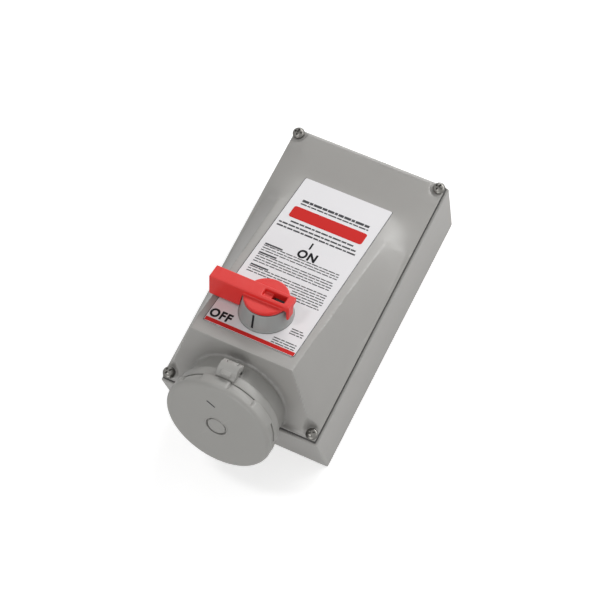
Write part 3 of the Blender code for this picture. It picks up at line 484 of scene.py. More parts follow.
@dataclass
class Workshop:
    """What the builders share: the frame, its placements and the finished materials."""

    frame: dict
    materials: dict[str, bpy.types.Material]

    def joint(self, name: str) -> dict:
        """The record's entry for a joint."""
        joints = self.frame["record"]["behaviour"]["joints"]
        return next(entry for entry in joints if entry["name"] == name)

    def panel_place(self) -> Matrix:
        """Placement on the panel at the switch: X right, Y up the slope, Z out of the panel."""
        turn = self.joint("handle_turn")
        return self.placement(Vector(turn["pos_m"]), Vector(turn["axis"]))

    def receptacle_place(self) -> Matrix:
        """Placement on the receptacle axis: X right, Y up, Z out of the front face."""
        turn = self.joint("cap_turn")
        return self.placement(Vector(turn["pos_m"]), -Vector(turn["axis"]))

    def hinge_place(self) -> Vector:
        """The lid hinge in the receptacle's own placement."""
        return self.receptacle_place().inverted() @ Vector(self.joint("lid_hinge")["pos_m"])

    @staticmethod
    def placement(origin: Vector, outward: Vector) -> Matrix:
        """A placement with X kept and Z along a direction.

        Args:
            origin: Its origin.
            outward: Its Z direction, square to world X.

        Returns:
            The placement matrix.
        """
        across = Vector((1, 0, 0))
        along = outward.normalized().cross(across)
        matrix = Matrix((across, along, outward.normalized())).transposed().to_4x4()
        matrix.translation = origin
        return matrix

    def finish(self, finish: Finish) -> bpy.types.Material:
        """The built material of a finish."""
        return self.materials[finish.name]

    def piece(self, name: str, bm: Shape, finish: Finish, body: Body, slot: Slot,
              place: Matrix | None = None, outward: bool = True) -> Item:
        """Turn a bmesh into a finished piece that rides on a body.

        Args:
            name: Piece name.
            bm: Its shape, which is freed.
            finish: Its finish.
            body: The body it moves with.
            slot: Not used.
            place: Where it goes; the mesh is moved there.
            outward: Whether to make the faces point outwards.

        Returns:
            The new object.
        """
        if place is not None:
            bmesh.ops.transform(bm, matrix=place, verts=bm.verts)
        if outward:
            bmesh.ops.recalc_face_normals(bm, faces=bm.faces)
        for face in bm.faces:
            face.smooth = True
        for edge in bm.edges:
            edge.smooth = len(edge.link_faces) == 2 and edge.calc_face_angle(0) < SMOOTH_ANGLE
        made = shape_object(name, bm)
        made.data.materials.append(self.finish(finish))
        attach(made, body.value)
        LOG.info("%s: %d faces", name, len(made.data.polygons))
        return made

    def softened_copy(self, node: str, voxel: float, passes: int) -> Shape:
        """A copy of a node's shape with moulded, softly rounded edges.

        Args:
            node: The CAD node.
            voxel: Size of the remesh grid.
            passes: Smoothing passes.

        Returns:
            The new shape.
        """
        mesh = self.frame["nodes"][node].data.copy()
        bm = bmesh.new()
        bm.from_mesh(mesh)
        bmesh.ops.remove_doubles(bm, verts=bm.verts, dist=MERGE_DISTANCE)
        bm.to_mesh(mesh)
        bm.free()
        rough = add_object(node + "_rough", mesh)
        remesh = rough.modifiers.new("Grid", "REMESH")
        remesh.mode = "VOXEL"
        remesh.voxel_size = voxel
        exact = add_object(node + "_exact", mesh)
        snap = rough.modifiers.new("Snap", "SHRINKWRAP")
        snap.wrap_method = "NEAREST_SURFACEPOINT"
        snap.target = exact
        smooth = rough.modifiers.new("Soften", "SMOOTH")
        smooth.factor = SMOOTH_FACTOR
        smooth.iterations = passes
        result = evaluated_shape(rough)
        discard(rough, exact)
        return result


def soften(points: list[Point], radius: float, closed: bool = False, steps: int = 4) -> list[Point]:
    """Round the corners of a profile.

    Args:
        points: Corners of the profile.
        radius: Longest cut back from a corner.
        closed: Whether the last corner joins the first.
        steps: Segments in each rounded corner.

    Returns:
        The profile with short curves in place of its corners.
    """
    result: list[Point] = []
    count = len(points)
    for index, corner in enumerate(points):
        if not closed and index in (0, count - 1):
            result.append(corner)
            continue
        here = Vector(corner)
        before = Vector(points[index - 1]) - here
        after = Vector(points[(index + 1) % count]) - here
        cut = min(radius, before.length * CORNER_SHARE, after.length * CORNER_SHARE)
        start = here + before.normalized() * cut
        end = here + after.normalized() * cut
        for step in range(steps + 1):
            share = step / steps
            spot = start.lerp(here, share).lerp(here.lerp(end, share), share)
            result.append((spot.x, spot.y))
    return result


def turned(profile: list[Point], closed: bool = False, steps: int = 128) -> Shape:
    """Turn a profile in X and Z about Z.

    Args:
        profile: Points of radius and height.
        closed: Whether the profile is a ring's section.
        steps: Segments round the axis.

    Returns:
        The closed turned shape.
    """
    bm = bmesh.new()
    verts = [bm.verts.new((radius, 0, height)) for radius, height in profile]
    pairs = list(zip(verts, verts[1:]))
    if closed:
        pairs.append((verts[-1], verts[0]))
    edges = [bm.edges.new(pair) for pair in pairs]
    bmesh.ops.spin(bm, geom=verts + edges, cent=(0, 0, 0), axis=(0, 0, 1), angle=2 * math.pi, steps=steps,
                   use_merge=True)
    bmesh.ops.remove_doubles(bm, verts=bm.verts, dist=MERGE_DISTANCE)
    bmesh.ops.recalc_face_normals(bm, faces=bm.faces)
    return bm


def add_block(bm: Shape, low: Vector, high: Vector, rounding: float = 0.0,
              turn: Matrix | None = None) -> None:
    """Add a box with rounded edges to a shape.

    Args:
        bm: The shape.
        low: Lowest corner.
        high: Highest corner.
        rounding: Radius of its edges.
        turn: Placement of the box.
    """
    size = Matrix.Diagonal((*(high - low), 1))
    made = bmesh.ops.create_cube(bm, size=1, matrix=Matrix.Translation((low + high) / 2) @ size)
    verts = made["verts"]
    if rounding:
        rounded = bevel(bm, edges_of(verts), rounding, ROUND_STEPS)
        verts = list(dict.fromkeys(vert for face in rounded for vert in face.verts))
    if turn is not None:
        bmesh.ops.transform(bm, matrix=turn, verts=verts)


def add_rod(bm: Shape, radius: float, length: float, place: Matrix, steps: int = 48) -> None:
    """Add a rod with eased ends, along the local Z of a placement.

    Args:
        bm: The shape.
        radius: Rod radius.
        length: Rod length.
        place: Placement of its middle.
        steps: Segments round it.
    """
    made = bmesh.ops.create_cone(bm, cap_ends=True, segments=steps, radius1=radius, radius2=radius,
                                 depth=length, matrix=place)
    rims = [edge for edge in edges_of(made["verts"])
            if any(len(face.verts) == steps for face in edge.link_faces)]
    bevel(bm, rims, radius * ROD_EASE, ROD_EASE_STEPS)


@dataclass
class Enclosure:
    """The wedge cover and its corner screws."""

    shop: Workshop
    voxel: float = 0.0014
    passes: int = 5
    flange_top: float = 0.0695
    wall_facing: float = 0.6
    wall_passes: int = 80
    blend_start: float = 0.046
    blend_reach: float = 0.072
    blend_end: float = 0.020
    blend_steps: int = 9
    blend_passes: int = 4
    corner_reach: float = 0.045
    corner_passes: int = 14
    head_radius: float = 0.0054
    head_height: float = 0.0038
    slot_width: float = 0.0017
    slot_depth: float = 0.0022
    screw_count: int = 4
    crown: tuple[Point, ...] = ((0, 1), (0.45, 0.97), (0.78, 0.8), (1, 0.42))
    shank_share: float = 0.32
    head_ease: float = 0.1
    head_steps: int = 64
    recess_share: float = 0.62
    first_turn: float = 20.0
    turn_step: float = 35.0

    def build(self) -> None:
        """Make the cover and its screws."""
        shape = self.shop.softened_copy("front_cover", self.voxel, self.passes)
        self.ease_walls(shape)
        cover = self.shop.piece("moulded_cover", shape, BODY_GREY, Body.BOX, Slot.GREY, outward=False)
        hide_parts("front_cover")
        for number in range(1, self.screw_count + 1):
            self.screw(number)

    def ease_walls(self, bm: Shape) -> None:
        """Even out the twisted side walls, and run panel and walls into the top end with a wide soft curve.

        Args:
            bm: The softened cover.
        """
        top = max(vert.co.y for vert in bm.verts)
        raised = [vert for vert in bm.verts if vert.co.z > self.flange_top]
        bm.normal_update()
        walls = [vert for vert in raised if abs(vert.normal.x) > self.wall_facing]
        self.relax(bm, walls, self.wall_passes)
        growth = (self.blend_reach - self.blend_start) / (self.blend_steps - 1)
        for step in range(self.blend_steps):
            reach = self.blend_start + growth * step
            seam = [vert for vert in raised if self.blend_end < top - vert.co.y < reach]
            self.relax(bm, seam, self.blend_passes)
            self.relax(bm, [vert for vert in seam if abs(vert.co.x) > self.corner_reach], self.corner_passes)

    @staticmethod
    def relax(bm: Shape, region: list[bmesh.types.BMVert], passes: int) -> None:
        """Smooth some points of a shape.

        Args:
            bm: The shape.
            region: The points that may move.
            passes: Smoothing passes.
        """
        for _ in range(passes):
            bmesh.ops.smooth_vert(bm, verts=region, factor=SMOOTH_FACTOR, use_axis_x=True, use_axis_y=True,
                                  use_axis_z=True)

    def screw(self, number: int) -> None:
        """Make one pan head screw with a cross recess.

        Args:
            number: Which corner.
        """
        node = f"cover_screw_{number}"
        low, high = (Vector(corner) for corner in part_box(node))
        seat = high.z - self.head_height
        radius, height = self.head_radius, self.head_height
        shank = radius * self.shank_share
        profile = [(radius * out, height * up) for out, up in self.crown]
        profile += [(radius, 0), (shank, 0), (shank, low.z - seat), (0, low.z - seat)]
        head = turned(soften(profile, radius * self.head_ease), steps=self.head_steps)
        blank = shape_object("screw_blank", head)
        tool = shape_object("screw_recess", self.recess())
        cut = blank.modifiers.new("Recess", "BOOLEAN")
        cut.operation = "DIFFERENCE"
        cut.object = tool
        cut.use_self = True
        result = evaluated_shape(blank)
        discard(blank, tool)
        place = Matrix.Translation(((low.x + high.x) / 2, (low.y + high.y) / 2, seat))
        spin = Matrix.Rotation(math.radians(self.first_turn + self.turn_step * number), 4, "Z")
        made = self.shop.piece(f"pan_head_screw_{number}", result, SCREW_STEEL, Body.BOX, Slot.STEEL,
                               place @ spin, outward=False)
        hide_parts(node)

    def recess(self) -> Shape:
        """Make the crossed blocks that cut a screw's recess.

        Returns:
            The shape.
        """
        bm = bmesh.new()
        reach = self.head_radius * self.recess_share
        half = self.slot_width / 2
        low = Vector((-reach, -half, self.head_height - self.slot_depth))
        high = Vector((reach, half, 2 * self.head_height))
        for angle in (0, QUARTER_TURN):
            add_block(bm, low, high, turn=Matrix.Rotation(angle, 4, "Z"))
        return bm


@dataclass(frozen=True)
class LineBlock:
    """A block of dashed rows on the label, placed from the switch axis."""

    top: float
    left: float = -0.0370
    right: float = 0.0350
    rows: int = 1
    pitch: float = 0.0028
    height: float = 0.0009
    headed: bool = False


@dataclass(frozen=True)
class Word:
    """A plain word on the label, placed by its middle from the switch axis."""

    name: str
    text: str
    across: float
    along: float
    size: float


LINE_BLOCKS = (
    LineBlock(0.1280, -0.0320, 0.0330, height=0.0026),
    LineBlock(0.1235, -0.0320, 0.0330, height=0.0013),
    LineBlock(0.1015, -0.0300, 0.0300, height=0.0016),
    LineBlock(0.0970, -0.0390, 0.0360, rows=2, pitch=0.0040, height=0.0016),
    LineBlock(0.0660, rows=3, headed=True),
    LineBlock(0.0550, rows=4, headed=True),
    LineBlock(0.0400, right=0.0360, rows=3, headed=True),
    LineBlock(0.0316, 0.0080, 0.0370, rows=4),
    LineBlock(-0.0050, 0.0270, 0.0390, rows=3, pitch=0.0026),
    LineBlock(-0.0200, 0.0180, 0.0390, rows=3, pitch=0.0026),
)
DASH_LENGTHS = (0.0062, 0.0031, 0.0077, 0.0044, 0.0058, 0.0027, 0.0049)
WORDS = (
    Word("label_on", "ON", 0.0010, 0.0712, 0.0124),
    Word("label_off", "OFF", -0.0312, -0.0215, 0.0122),
    Word("label_stroke", "I", -0.0010, 0.0825, 0.0100),
)


@dataclass
class PanelLabel:
    """The label's film and its print: bars, border, ruled lines and the two switch positions."""

    shop: Workshop
    film: float = 0.00052
    ink: float = 0.00012
    edge: float = 0.0010
    border: float = 0.0005
    corner: float = 0.0025
    weight: float = 0.04
    condense: float = 0.86
    letter_space: float = 1.12
    letter_merge: float = 0.000002
    corner_steps: int = 6
    band_corner_steps: int = 5
    band_half: float = 0.0350
    band_bottom: float = 0.1050
    band_top: float = 0.1185
    band_corner: float = 0.0022
    stripe_top: float = 0.0050
    dash_gap: float = 0.0008
    shortest_dash: float = 0.0012
    head_length: float = 0.0165
    head_bottom: float = 0.0008
    head_top: float = 0.0024
    flat_angle: float = math.radians(1)

    def __post_init__(self) -> None:
        """Take the panel's placement and the label's corners from the frame."""
        self.place = self.shop.panel_place()
        self.mesh = self.shop.frame["nodes"]["panel_label"].data
        back = self.place.inverted()
        spots = [back @ vert.co for vert in self.mesh.vertices]
        self.low = Vector((min(spot.x for spot in spots), min(spot.y for spot in spots)))
        self.high = Vector((max(spot.x for spot in spots), max(spot.y for spot in spots)))

    def build(self) -> None:
        """Make the film and print everything on it."""
        self.sheet()
        self.bars()
        self.outline()
        self.ruled_lines()
        for word in WORDS:
            self.word(word)

    def sheet(self) -> None:
        """The white film: the CAD label with rounded corners."""
        bm = bmesh.new()
        bm.from_mesh(self.mesh)
        bmesh.ops.transform(bm, matrix=self.place.inverted(), verts=bm.verts)
        bmesh.ops.remove_doubles(bm, verts=bm.verts, dist=MERGE_DISTANCE)
        bmesh.ops.dissolve_limit(bm, angle_limit=self.flat_angle, verts=bm.verts, edges=bm.edges)
        corners = [Vector((across, along)) for across in (self.low.x, self.high.x)
                   for along in (self.low.y, self.high.y)]
        upright = [edge for edge in bm.edges if any(self.stands_at(edge, spot) for spot in corners)]
        bevel(bm, upright, self.corner, self.corner_steps)
        film = self.shop.piece("label_film", bm, LABEL_WHITE, Body.BOX, Slot.LABEL, self.place)
        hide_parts("panel_label")

    def stands_at(self, edge: bmesh.types.BMEdge, spot: Vector) -> bool:
        """Whether an edge stands on a corner of the label."""
        return all((vert.co.xy - spot).length < self.ink for vert in edge.verts)

    def patch(self, bm: Shape, left: float, bottom: float, right: float, top: float,
              corner: float = 0.0) -> None:
        """Add a thin inked patch with rounded corners.

        Args:
            bm: The shape.
            left: Left edge.
            bottom: Lower edge.
            right: Right edge.
            top: Upper edge.
            corner: Corner radius.
        """
        middle = Matrix.Translation(((left + right) / 2, (bottom + top) / 2, self.film + self.ink / 2))
        size = Matrix.Diagonal((right - left, top - bottom, self.ink, 1))
        made = bmesh.ops.create_cube(bm, size=1, matrix=middle @ size)
        if corner:
            upright = [edge for edge in edges_of(made["verts"])
                       if abs(edge.verts[0].co.z - edge.verts[1].co.z) > self.ink / 2]
            bevel(bm, upright, corner, self.band_corner_steps)

    def bars(self) -> None:
        """The red band near the top and the red stripe at the bottom."""
        bm = bmesh.new()
        low, high = self.low, self.high
        self.patch(bm, -self.band_half, self.band_bottom, self.band_half, self.band_top, self.band_corner)
        self.patch(bm, low.x + self.edge, low.y + self.edge, high.x - self.edge, low.y + self.stripe_top)
        self.shop.piece("label_red_bars", bm, PRINT_RED, Body.BOX, Slot.LABEL, self.place)

    def outline(self) -> None:
        """The thin dark border of the label."""
        bm = bmesh.new()
        loops = []
        for inset in (0.0, self.border):
            left, bottom = self.low.x + inset, self.low.y + inset
            right, top = self.high.x - inset, self.high.y - inset
            path = [(left, bottom), (right, bottom), (right, top), (left, top)]
            rounded = soften(path, self.corner - inset, closed=True, steps=self.corner_steps)
            loops.append([bm.verts.new((across, along, self.film)) for across, along in rounded])
        outer, inner = loops
        faces = []
        for spot in range(len(outer)):
            after = (spot + 1) % len(outer)
            faces.append(bm.faces.new((outer[spot], outer[after], inner[after], inner[spot])))
        bmesh.ops.solidify(bm, geom=faces, thickness=-self.ink)
        self.shop.piece("label_border", bm, GREY_INK_AND_GROOVE_SHADE, Body.BOX, Slot.LABEL, self.place)

    def ruled_lines(self) -> None:
        """Rows of plain dashes in blocks down the label, some with a heavier dash at their head."""
        bm = bmesh.new()
        for block in LINE_BLOCKS:
            if block.headed:
                self.patch(bm, block.left, block.top + self.head_bottom, block.left + self.head_length,
                           block.top + self.head_top)
        lengths = itertools.cycle(DASH_LENGTHS)
        for block in LINE_BLOCKS:
            for row in range(block.rows):
                level = block.top - row * block.pitch
                start = block.left
                while start + self.shortest_dash < block.right:
                    end = min(block.right, start + next(lengths))
                    self.patch(bm, start, level - block.height, end, level)
                    start = end + self.dash_gap
        self.shop.piece("label_ruled_lines", bm, GREY_INK_AND_GROOVE_SHADE, Body.BOX, Slot.LABEL, self.place)

    def word(self, word: Word) -> None:
        """Ink one plain word.

        Args:
            word: The word, its size and its place.
        """
        curve = bpy.data.curves.new(word.name, "FONT")
        curve.body = word.text
        curve.size = word.size
        curve.align_x = "CENTER"
        curve.align_y = "CENTER"
        curve.extrude = self.ink / 2
        curve.offset = word.size * self.weight
        curve.space_character = self.letter_space
        holder = add_object(word.name + "_curve", curve)
        bm = evaluated_shape(holder)
        discard(holder)
        bmesh.ops.remove_doubles(bm, verts=bm.verts, dist=self.letter_merge)
        lift = Matrix.Translation((word.across, word.along, self.film + self.ink / 2))
        narrow = Matrix.Diagonal((self.condense, 1, 1, 1))
        self.shop.piece(word.name, bm, PRINT_BLACK, Body.BOX, Slot.LABEL, self.place @ lift @ narrow)


@dataclass
class Switch:
    """The fixed collar with its index line and washer, and the lever handle."""

    shop: Workshop
    top_radius: float = 0.0198
    collar_radius: float = 0.0226
    collar_height: float = 0.0173
    base_radius: float = 0.0234
    base_height: float = 0.0015
    bore: float = 0.0066
    gap: float = 0.0003
    washer_radius: float = 0.0190
    washer_height: float = 0.0002
    line_width: float = 0.0019
    line_angle: float = -4.0
    handle_voxel: float = 0.00045
    handle_passes: int = 12
    collar_ease: float = 0.0008
    line_proud: float = 0.00008
    line_low: float = 0.0012
    line_clear: float = 0.0008

    def build(self) -> None:
        """Make the collar, its index line and washer, and the handle."""
        place = self.shop.panel_place()
        self.collar(place)
        self.index_line(place)
        self.washer(place)
        shape = self.shop.softened_copy("switch_handle", self.handle_voxel, self.handle_passes)
        handle = self.shop.piece("lever_handle", shape, HANDLE_RED, Body.HANDLE, Slot.RED, outward=False)
        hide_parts("switch_handle")

    def collar(self, place: Matrix) -> None:
        """Make the turned collar on the panel.

        Args:
            place: The placement on the panel at the switch.
        """
        profile = [(self.bore, self.collar_height), (self.top_radius, self.collar_height),
                   (self.collar_radius, self.base_height), (self.base_radius, self.base_height),
                   (self.base_radius, self.gap), (self.bore, self.gap)]
        shape = turned(soften(profile, self.collar_ease, closed=True), closed=True)
        collar = self.shop.piece("turned_collar", shape, COLLAR_GREY, Body.BOX, Slot.CAP, place)
        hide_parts("switch_collar")

    def index_line(self, place: Matrix) -> None:
        """Make the dark line down the collar's slope.

        Args:
            place: The placement on the panel at the switch.
        """
        bm = bmesh.new()
        half = self.line_width / 2
        rise = self.collar_height - self.base_height
        slant = math.atan2(self.collar_radius - self.top_radius, rise)
        foot = Matrix.Translation((0, -self.collar_radius, self.base_height))
        turn = Matrix.Rotation(math.radians(self.line_angle), 4, "Z") @ foot @ Matrix.Rotation(-slant, 4, "X")
        add_block(bm, Vector((-half, -self.line_proud, self.line_low)),
                  Vector((half, self.line_width, rise - self.line_clear)), turn=turn)
        self.shop.piece("collar_index_line", bm, PRINT_BLACK, Body.BOX, Slot.BLACK, place)

    def washer(self, place: Matrix) -> None:
        """Make the dark washer between collar and handle.

        Args:
            place: The placement on the panel at the switch.
        """
        top = self.collar_height + self.washer_height
        profile = [(self.washer_radius, top), (self.washer_radius, self.collar_height),
                   (self.bore, self.collar_height), (self.bore, top)]
        shape = turned(profile, closed=True)
        self.shop.piece("collar_washer", shape, SEAL_BLACK, Body.BOX, Slot.BLACK, place)


@dataclass
class Receptacle:
    """The receptacle housing with its hinge ears, the hinged ring and the turning cap."""

    shop: Workshop
    gasket_face: float = 0.0030
    floor_face: float = 0.0075
    housing_radius: float = 0.044
    housing_length: float = 0.018
    barrel_radius: float = 0.036
    barrel_end: float = 0.034
    socket_radius: float = 0.0325
    spigot_hole: float = 0.0161
    pin_radius: float = 0.002
    pin_reach: float = 0.0388
    pin_place: float = 0.032
    knuckle_radius: float = 0.0044
    arm_width: float = 0.0094
    ear_width: float = 0.0038
    gap: float = 0.0003
    ring_start: float = 0.0216
    ring_end: float = 0.0274
    ring_inner: float = 0.0414
    ring_outer: float = 0.047
    apron_inner: float = 0.0452
    apron_start: float = 0.0186
    arm_rounding: float = 0.0010
    arm_flare: float = 0.0086
    hood_height: float = 0.0062
    hood_wrap: float = 70.0
    hood_rounding: float = 0.0026
    hood_edge: float = 0.0006
    pin_cover: float = 0.0002
    cap_radius: float = 0.049
    cap_end: float = 0.0409
    cap_face: float = 0.0034
    cap_skirt: float = 0.005
    cap_edge: float = 0.0042
    cap_dome: float = 0.0007
    tube_inner: float = 0.040
    tube_wall: float = 0.001
    lip_start: float = 0.0191
    lip_reach: float = 0.0021
    button_radius: float = 0.0082
    groove_width: float = 0.0014
    groove_depth: float = 0.0018
    button_ring: float = 0.0014
    button_rise: float = 0.0005
    recess_count: int = 6
    recess_angle: float = 22.5
    recess_span: float = 30.5
    recess_depth: float = 0.0024
    mark_length: float = 0.0088
    mark_width: float = 0.0009
    mark_place: Point = (-0.0052, 0.0264)
    mark_angle: float = -28.7
    lug_inner: float = 0.0376
    lug_start: float = 0.0272
    lug_height: float = 0.0018
    lug_width: float = 0.012
    housing_ease: float = 0.0009
    ring_ease: float = 0.0008
    ear_rounding: float = 0.0005
    pin_steps: int = 24
    hood_front: tuple[Point, ...] = ((1.0, -0.5), (1.0, 0.15), (0.55, 0.9))
    hood_crest: float = 0.3
    hood_steps: int = 5
    mark_half: float = 0.0003
    mark_sink: float = 0.3
    button_ease: float = 0.0003
    button_slope: float = 0.0005
    dome_shares: Point = (0.3, 0.6)
    edge_steps: int = 9
    upper_row: float = 0.0007
    lower_row: float = 0.004
    rim_rise: float = 0.0010
    rim_ease: float = 0.0006
    cap_steps: int = 288
    recess_margin: float = 0.0004
    recess_skin: float = 0.001
    recess_fade: float = 1.0
    lug_rounding: float = 0.0003

    def __post_init__(self) -> None:
        """Take the receptacle's placement, and the hinge in it, from the frame."""
        self.place = self.shop.receptacle_place()
        self.hinge = self.shop.hinge_place()

    def build(self) -> None:
        """Make the housing, the ring, the cap and its tick, a thin strip of painted groove shade."""
        place = self.place
        shell = self.housing()
        housing = self.shop.piece("receptacle_shell", shell, CAP_GREY, Body.BOX, Slot.CAP, place)
        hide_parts("receptacle_housing")
        ring = self.shop.piece("hinged_ring", self.ring(), CAP_GREY, Body.LID, Slot.CAP, place)
        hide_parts("lid_ring")
        cap = self.shop.piece("turning_cap", self.cap(), CAP_GREY, Body.CAP, Slot.CAP, place)
        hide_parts("lid_cap")
        # The tick is a thin dark grey strip laid on the cap's face: painted shade where an engraved groove
        # would be dark.
        bm = bmesh.new()
        half = Vector((self.mark_length / 2, self.mark_width / 2, self.mark_half))
        spot = Matrix.Translation((*self.mark_place, self.cap_end - self.cap_dome * self.mark_sink))
        add_block(bm, -half, half, turn=spot @ Matrix.Rotation(math.radians(self.mark_angle), 4, "Z"))
        self.shop.piece("cap_tick_mark", bm, GREY_INK_AND_GROOVE_SHADE, Body.CAP, Slot.BLACK, place)

    def housing(self) -> Shape:
        """Make the turned housing with two hinge ears and two bayonet pins.

        Returns:
            The shape.
        """
        profile = [(self.barrel_radius, self.barrel_end), (self.barrel_radius, self.housing_length),
                   (self.housing_radius, self.housing_length), (self.housing_radius, self.gasket_face),
                   (self.spigot_hole, self.gasket_face), (self.spigot_hole, self.floor_face),
                   (self.socket_radius, self.floor_face), (self.socket_radius, self.barrel_end)]
        bm = turned(soften(profile, self.housing_ease, closed=True), closed=True)
        sideways = Matrix.Rotation(QUARTER_TURN, 4, "Y")
        half = self.ear_width / 2 + self.pin_cover / 2
        pin_start = self.socket_radius + self.gap
        for side in (-1, 1):
            middle = side * (self.arm_width / 2 + self.gap + half)
            low = Vector((middle - half, self.housing_radius - self.knuckle_radius / 2,
                          self.hinge.z - self.knuckle_radius))
            high = Vector((middle + half, self.hinge.y, self.housing_length))
            add_block(bm, low, high, self.ear_rounding)
            along = Matrix.Translation((middle, self.hinge.y, self.hinge.z)) @ sideways
            add_rod(bm, self.knuckle_radius, 2 * half, along)
            reach = (self.pin_reach + pin_start) / 2
            across = Matrix.Translation((side * reach, 0, self.pin_place)) @ sideways
            add_rod(bm, self.pin_radius, self.pin_reach - pin_start, across, self.pin_steps)
        return bm

    def ring(self) -> Shape:
        """Make the hinged ring with its arm and knuckle.

        Returns:
            The shape.
        """
        profile = [(self.ring_outer, self.ring_end), (self.ring_outer, self.apron_start),
                   (self.apron_inner, self.apron_start), (self.apron_inner, self.ring_start),
                   (self.ring_inner, self.ring_start), (self.ring_inner, self.ring_end)]
        bm = turned(soften(profile, self.ring_ease, closed=True), closed=True)
        half = self.arm_width / 2
        add_block(bm, Vector((-half, self.hinge.y - self.knuckle_radius, self.hinge.z)),
                  Vector((half, self.hinge.y + self.knuckle_radius, self.ring_end)), self.arm_rounding)
        self.hood(bm)
        along = Matrix.Translation((0, self.hinge.y, self.hinge.z)) @ Matrix.Rotation(QUARTER_TURN, 4, "Y")
        add_rod(bm, self.knuckle_radius, self.arm_width, along)
        return bm

    def hood(self, bm: Shape) -> None:
        """Add the smooth hood that runs from the ring over the front of the hinge.

        Args:
            bm: The ring.
        """
        front = self.ring_end - self.hinge.z
        inner = self.knuckle_radius + self.gap
        outline = [(front * out, self.hood_height * up) for out, up in self.hood_front]
        outline.append((inner * self.hood_crest, self.hood_height))
        for step in range(self.hood_steps + 1):
            turn = math.radians(self.hood_wrap) * (1 - step / self.hood_steps)
            outline.append((inner * math.cos(turn), inner * math.sin(turn)))
        outline.append((inner, -self.hood_height / 2))
        rounded = soften(outline, self.hood_rounding, closed=True, steps=self.hood_steps)
        ends = [[bm.verts.new((side * self.arm_flare, self.hinge.y + up, self.hinge.z + out))
                 for out, up in rounded] for side in (-1, 1)]
        count = len(rounded)
        caps = [bm.faces.new(end) for end in ends]
        for spot in range(count):
            after = (spot + 1) % count
            bm.faces.new((ends[0][spot], ends[0][after], ends[1][after], ends[1][spot]))
        rims = [edge for face in caps for edge in face.edges]
        bevel(bm, rims, self.hood_edge, ROUND_STEPS)

    def cap(self) -> Shape:
        """Make the cap: face with a raised ring, grip skirt with recesses, snap tube and bayonet lugs.

        Returns:
            The shape.
        """
        tube_outer = self.tube_inner + self.tube_wall
        recess_top = self.cap_end - self.cap_dome - self.cap_edge
        profile = self.cap_face_profile() + self.cap_side_profile(recess_top, tube_outer)
        bm = turned(profile, steps=self.cap_steps)
        self.press_recesses(bm, recess_top - self.recess_margin)
        low = Vector((-self.lug_width / 2, self.lug_inner, self.lug_start))
        high = Vector((self.lug_width / 2, tube_outer - self.tube_wall / 3, self.lug_start + self.lug_height))
        for side in (-1, 1):
            turn = Matrix.Rotation(QUARTER_TURN / 2 + side * QUARTER_TURN, 4, "Z")
            add_block(bm, low, high, self.lug_rounding, turn)
        return bm

    def cap_face_profile(self) -> list[Point]:
        """Trace the cap's face from its middle to its rounded edge: button, groove, raised ring and dome.

        Returns:
            Points of radius and height.
        """
        rise = self.cap_end
        sunk = rise - self.groove_depth
        crest = rise + self.button_rise
        groove_outer = self.button_radius + self.groove_width
        button_outer = groove_outer + self.button_ring
        profile = [(0, rise), (self.button_radius - self.button_ease, rise),
                   (self.button_radius, rise - self.button_ease), (self.button_radius, sunk),
                   (groove_outer, sunk), (groove_outer, crest - self.button_ease),
                   (groove_outer + self.button_ease, crest), (button_outer - self.button_slope, crest),
                   (button_outer, rise)]
        flat = self.cap_radius - self.cap_edge
        for share in self.dome_shares:
            profile.append((button_outer + (flat - button_outer) * share, rise - self.cap_dome * share ** 2))
        shoulder = rise - self.cap_dome
        for step in range(self.edge_steps + 1):
            turn = step / self.edge_steps * QUARTER_TURN
            profile.append((flat + self.cap_edge * math.sin(turn),
                            shoulder - self.cap_edge * (1 - math.cos(turn))))
        return profile

    def cap_side_profile(self, recess_top: float, tube_outer: float) -> list[Point]:
        """Trace the cap's skirt, its inside and the snap tube, back to the axis.

        Args:
            recess_top: Height where the recesses start.
            tube_outer: Outer radius of the snap tube.

        Returns:
            Points of radius and height.
        """
        inside = self.cap_end - self.cap_face
        skirt_start = self.ring_end + self.gap
        skirt_inner = self.cap_radius - self.cap_skirt
        lip_end = self.ring_start - self.gap
        rows = (recess_top - self.upper_row, recess_top - self.lower_row, skirt_start + self.rim_rise)
        return [*((self.cap_radius, row) for row in rows), (self.cap_radius - self.rim_ease, skirt_start),
                (skirt_inner, skirt_start), (skirt_inner, inside), (tube_outer, inside),
                (tube_outer, lip_end), (tube_outer + self.lip_reach, lip_end), (tube_outer, self.lip_start),
                (self.tube_inner, self.lip_start), (self.tube_inner, inside), (0, inside)]

    def press_recesses(self, bm: Shape, top: float) -> None:
        """Press the grip recesses into the skirt.

        Args:
            bm: The turned cap.
            top: Height where a recess stops.
        """
        period = 360 / self.recess_count
        for vert in bm.verts:
            reach = math.hypot(vert.co.x, vert.co.y)
            if reach < self.cap_radius - self.recess_skin or vert.co.z > top:
                continue
            angle = math.degrees(math.atan2(vert.co.x, vert.co.y)) - self.recess_angle
            away = abs((angle + period / 2) % period - period / 2)
            share = min(1.0, max(0.0, (self.recess_span / 2 - away) / self.recess_fade))
            shrink = 1 - share * self.recess_depth / reach
            vert.co.x *= shrink
            vert.co.y *= shrink


@dataclass(frozen=True)
class Lamp:
    """A rectangular soft light."""

    name: str
    place: Place
    size: Point
    power: float


LAMPS = (
    Lamp("back_strip", (0.35, 1.2, 0.68), (1.8, 0.36), 15.0),
    Lamp("top_light", (-0.45, -0.25, 1.7), (0.3, 0.3), 4.5),
    Lamp("side_light", (1.7, 0.9, 0.9), (1.2, 1.2), 6.0),
    Lamp("front_fill", (0.3, -2.0, 1.0), (1.4, 1.4), 16.0),
)


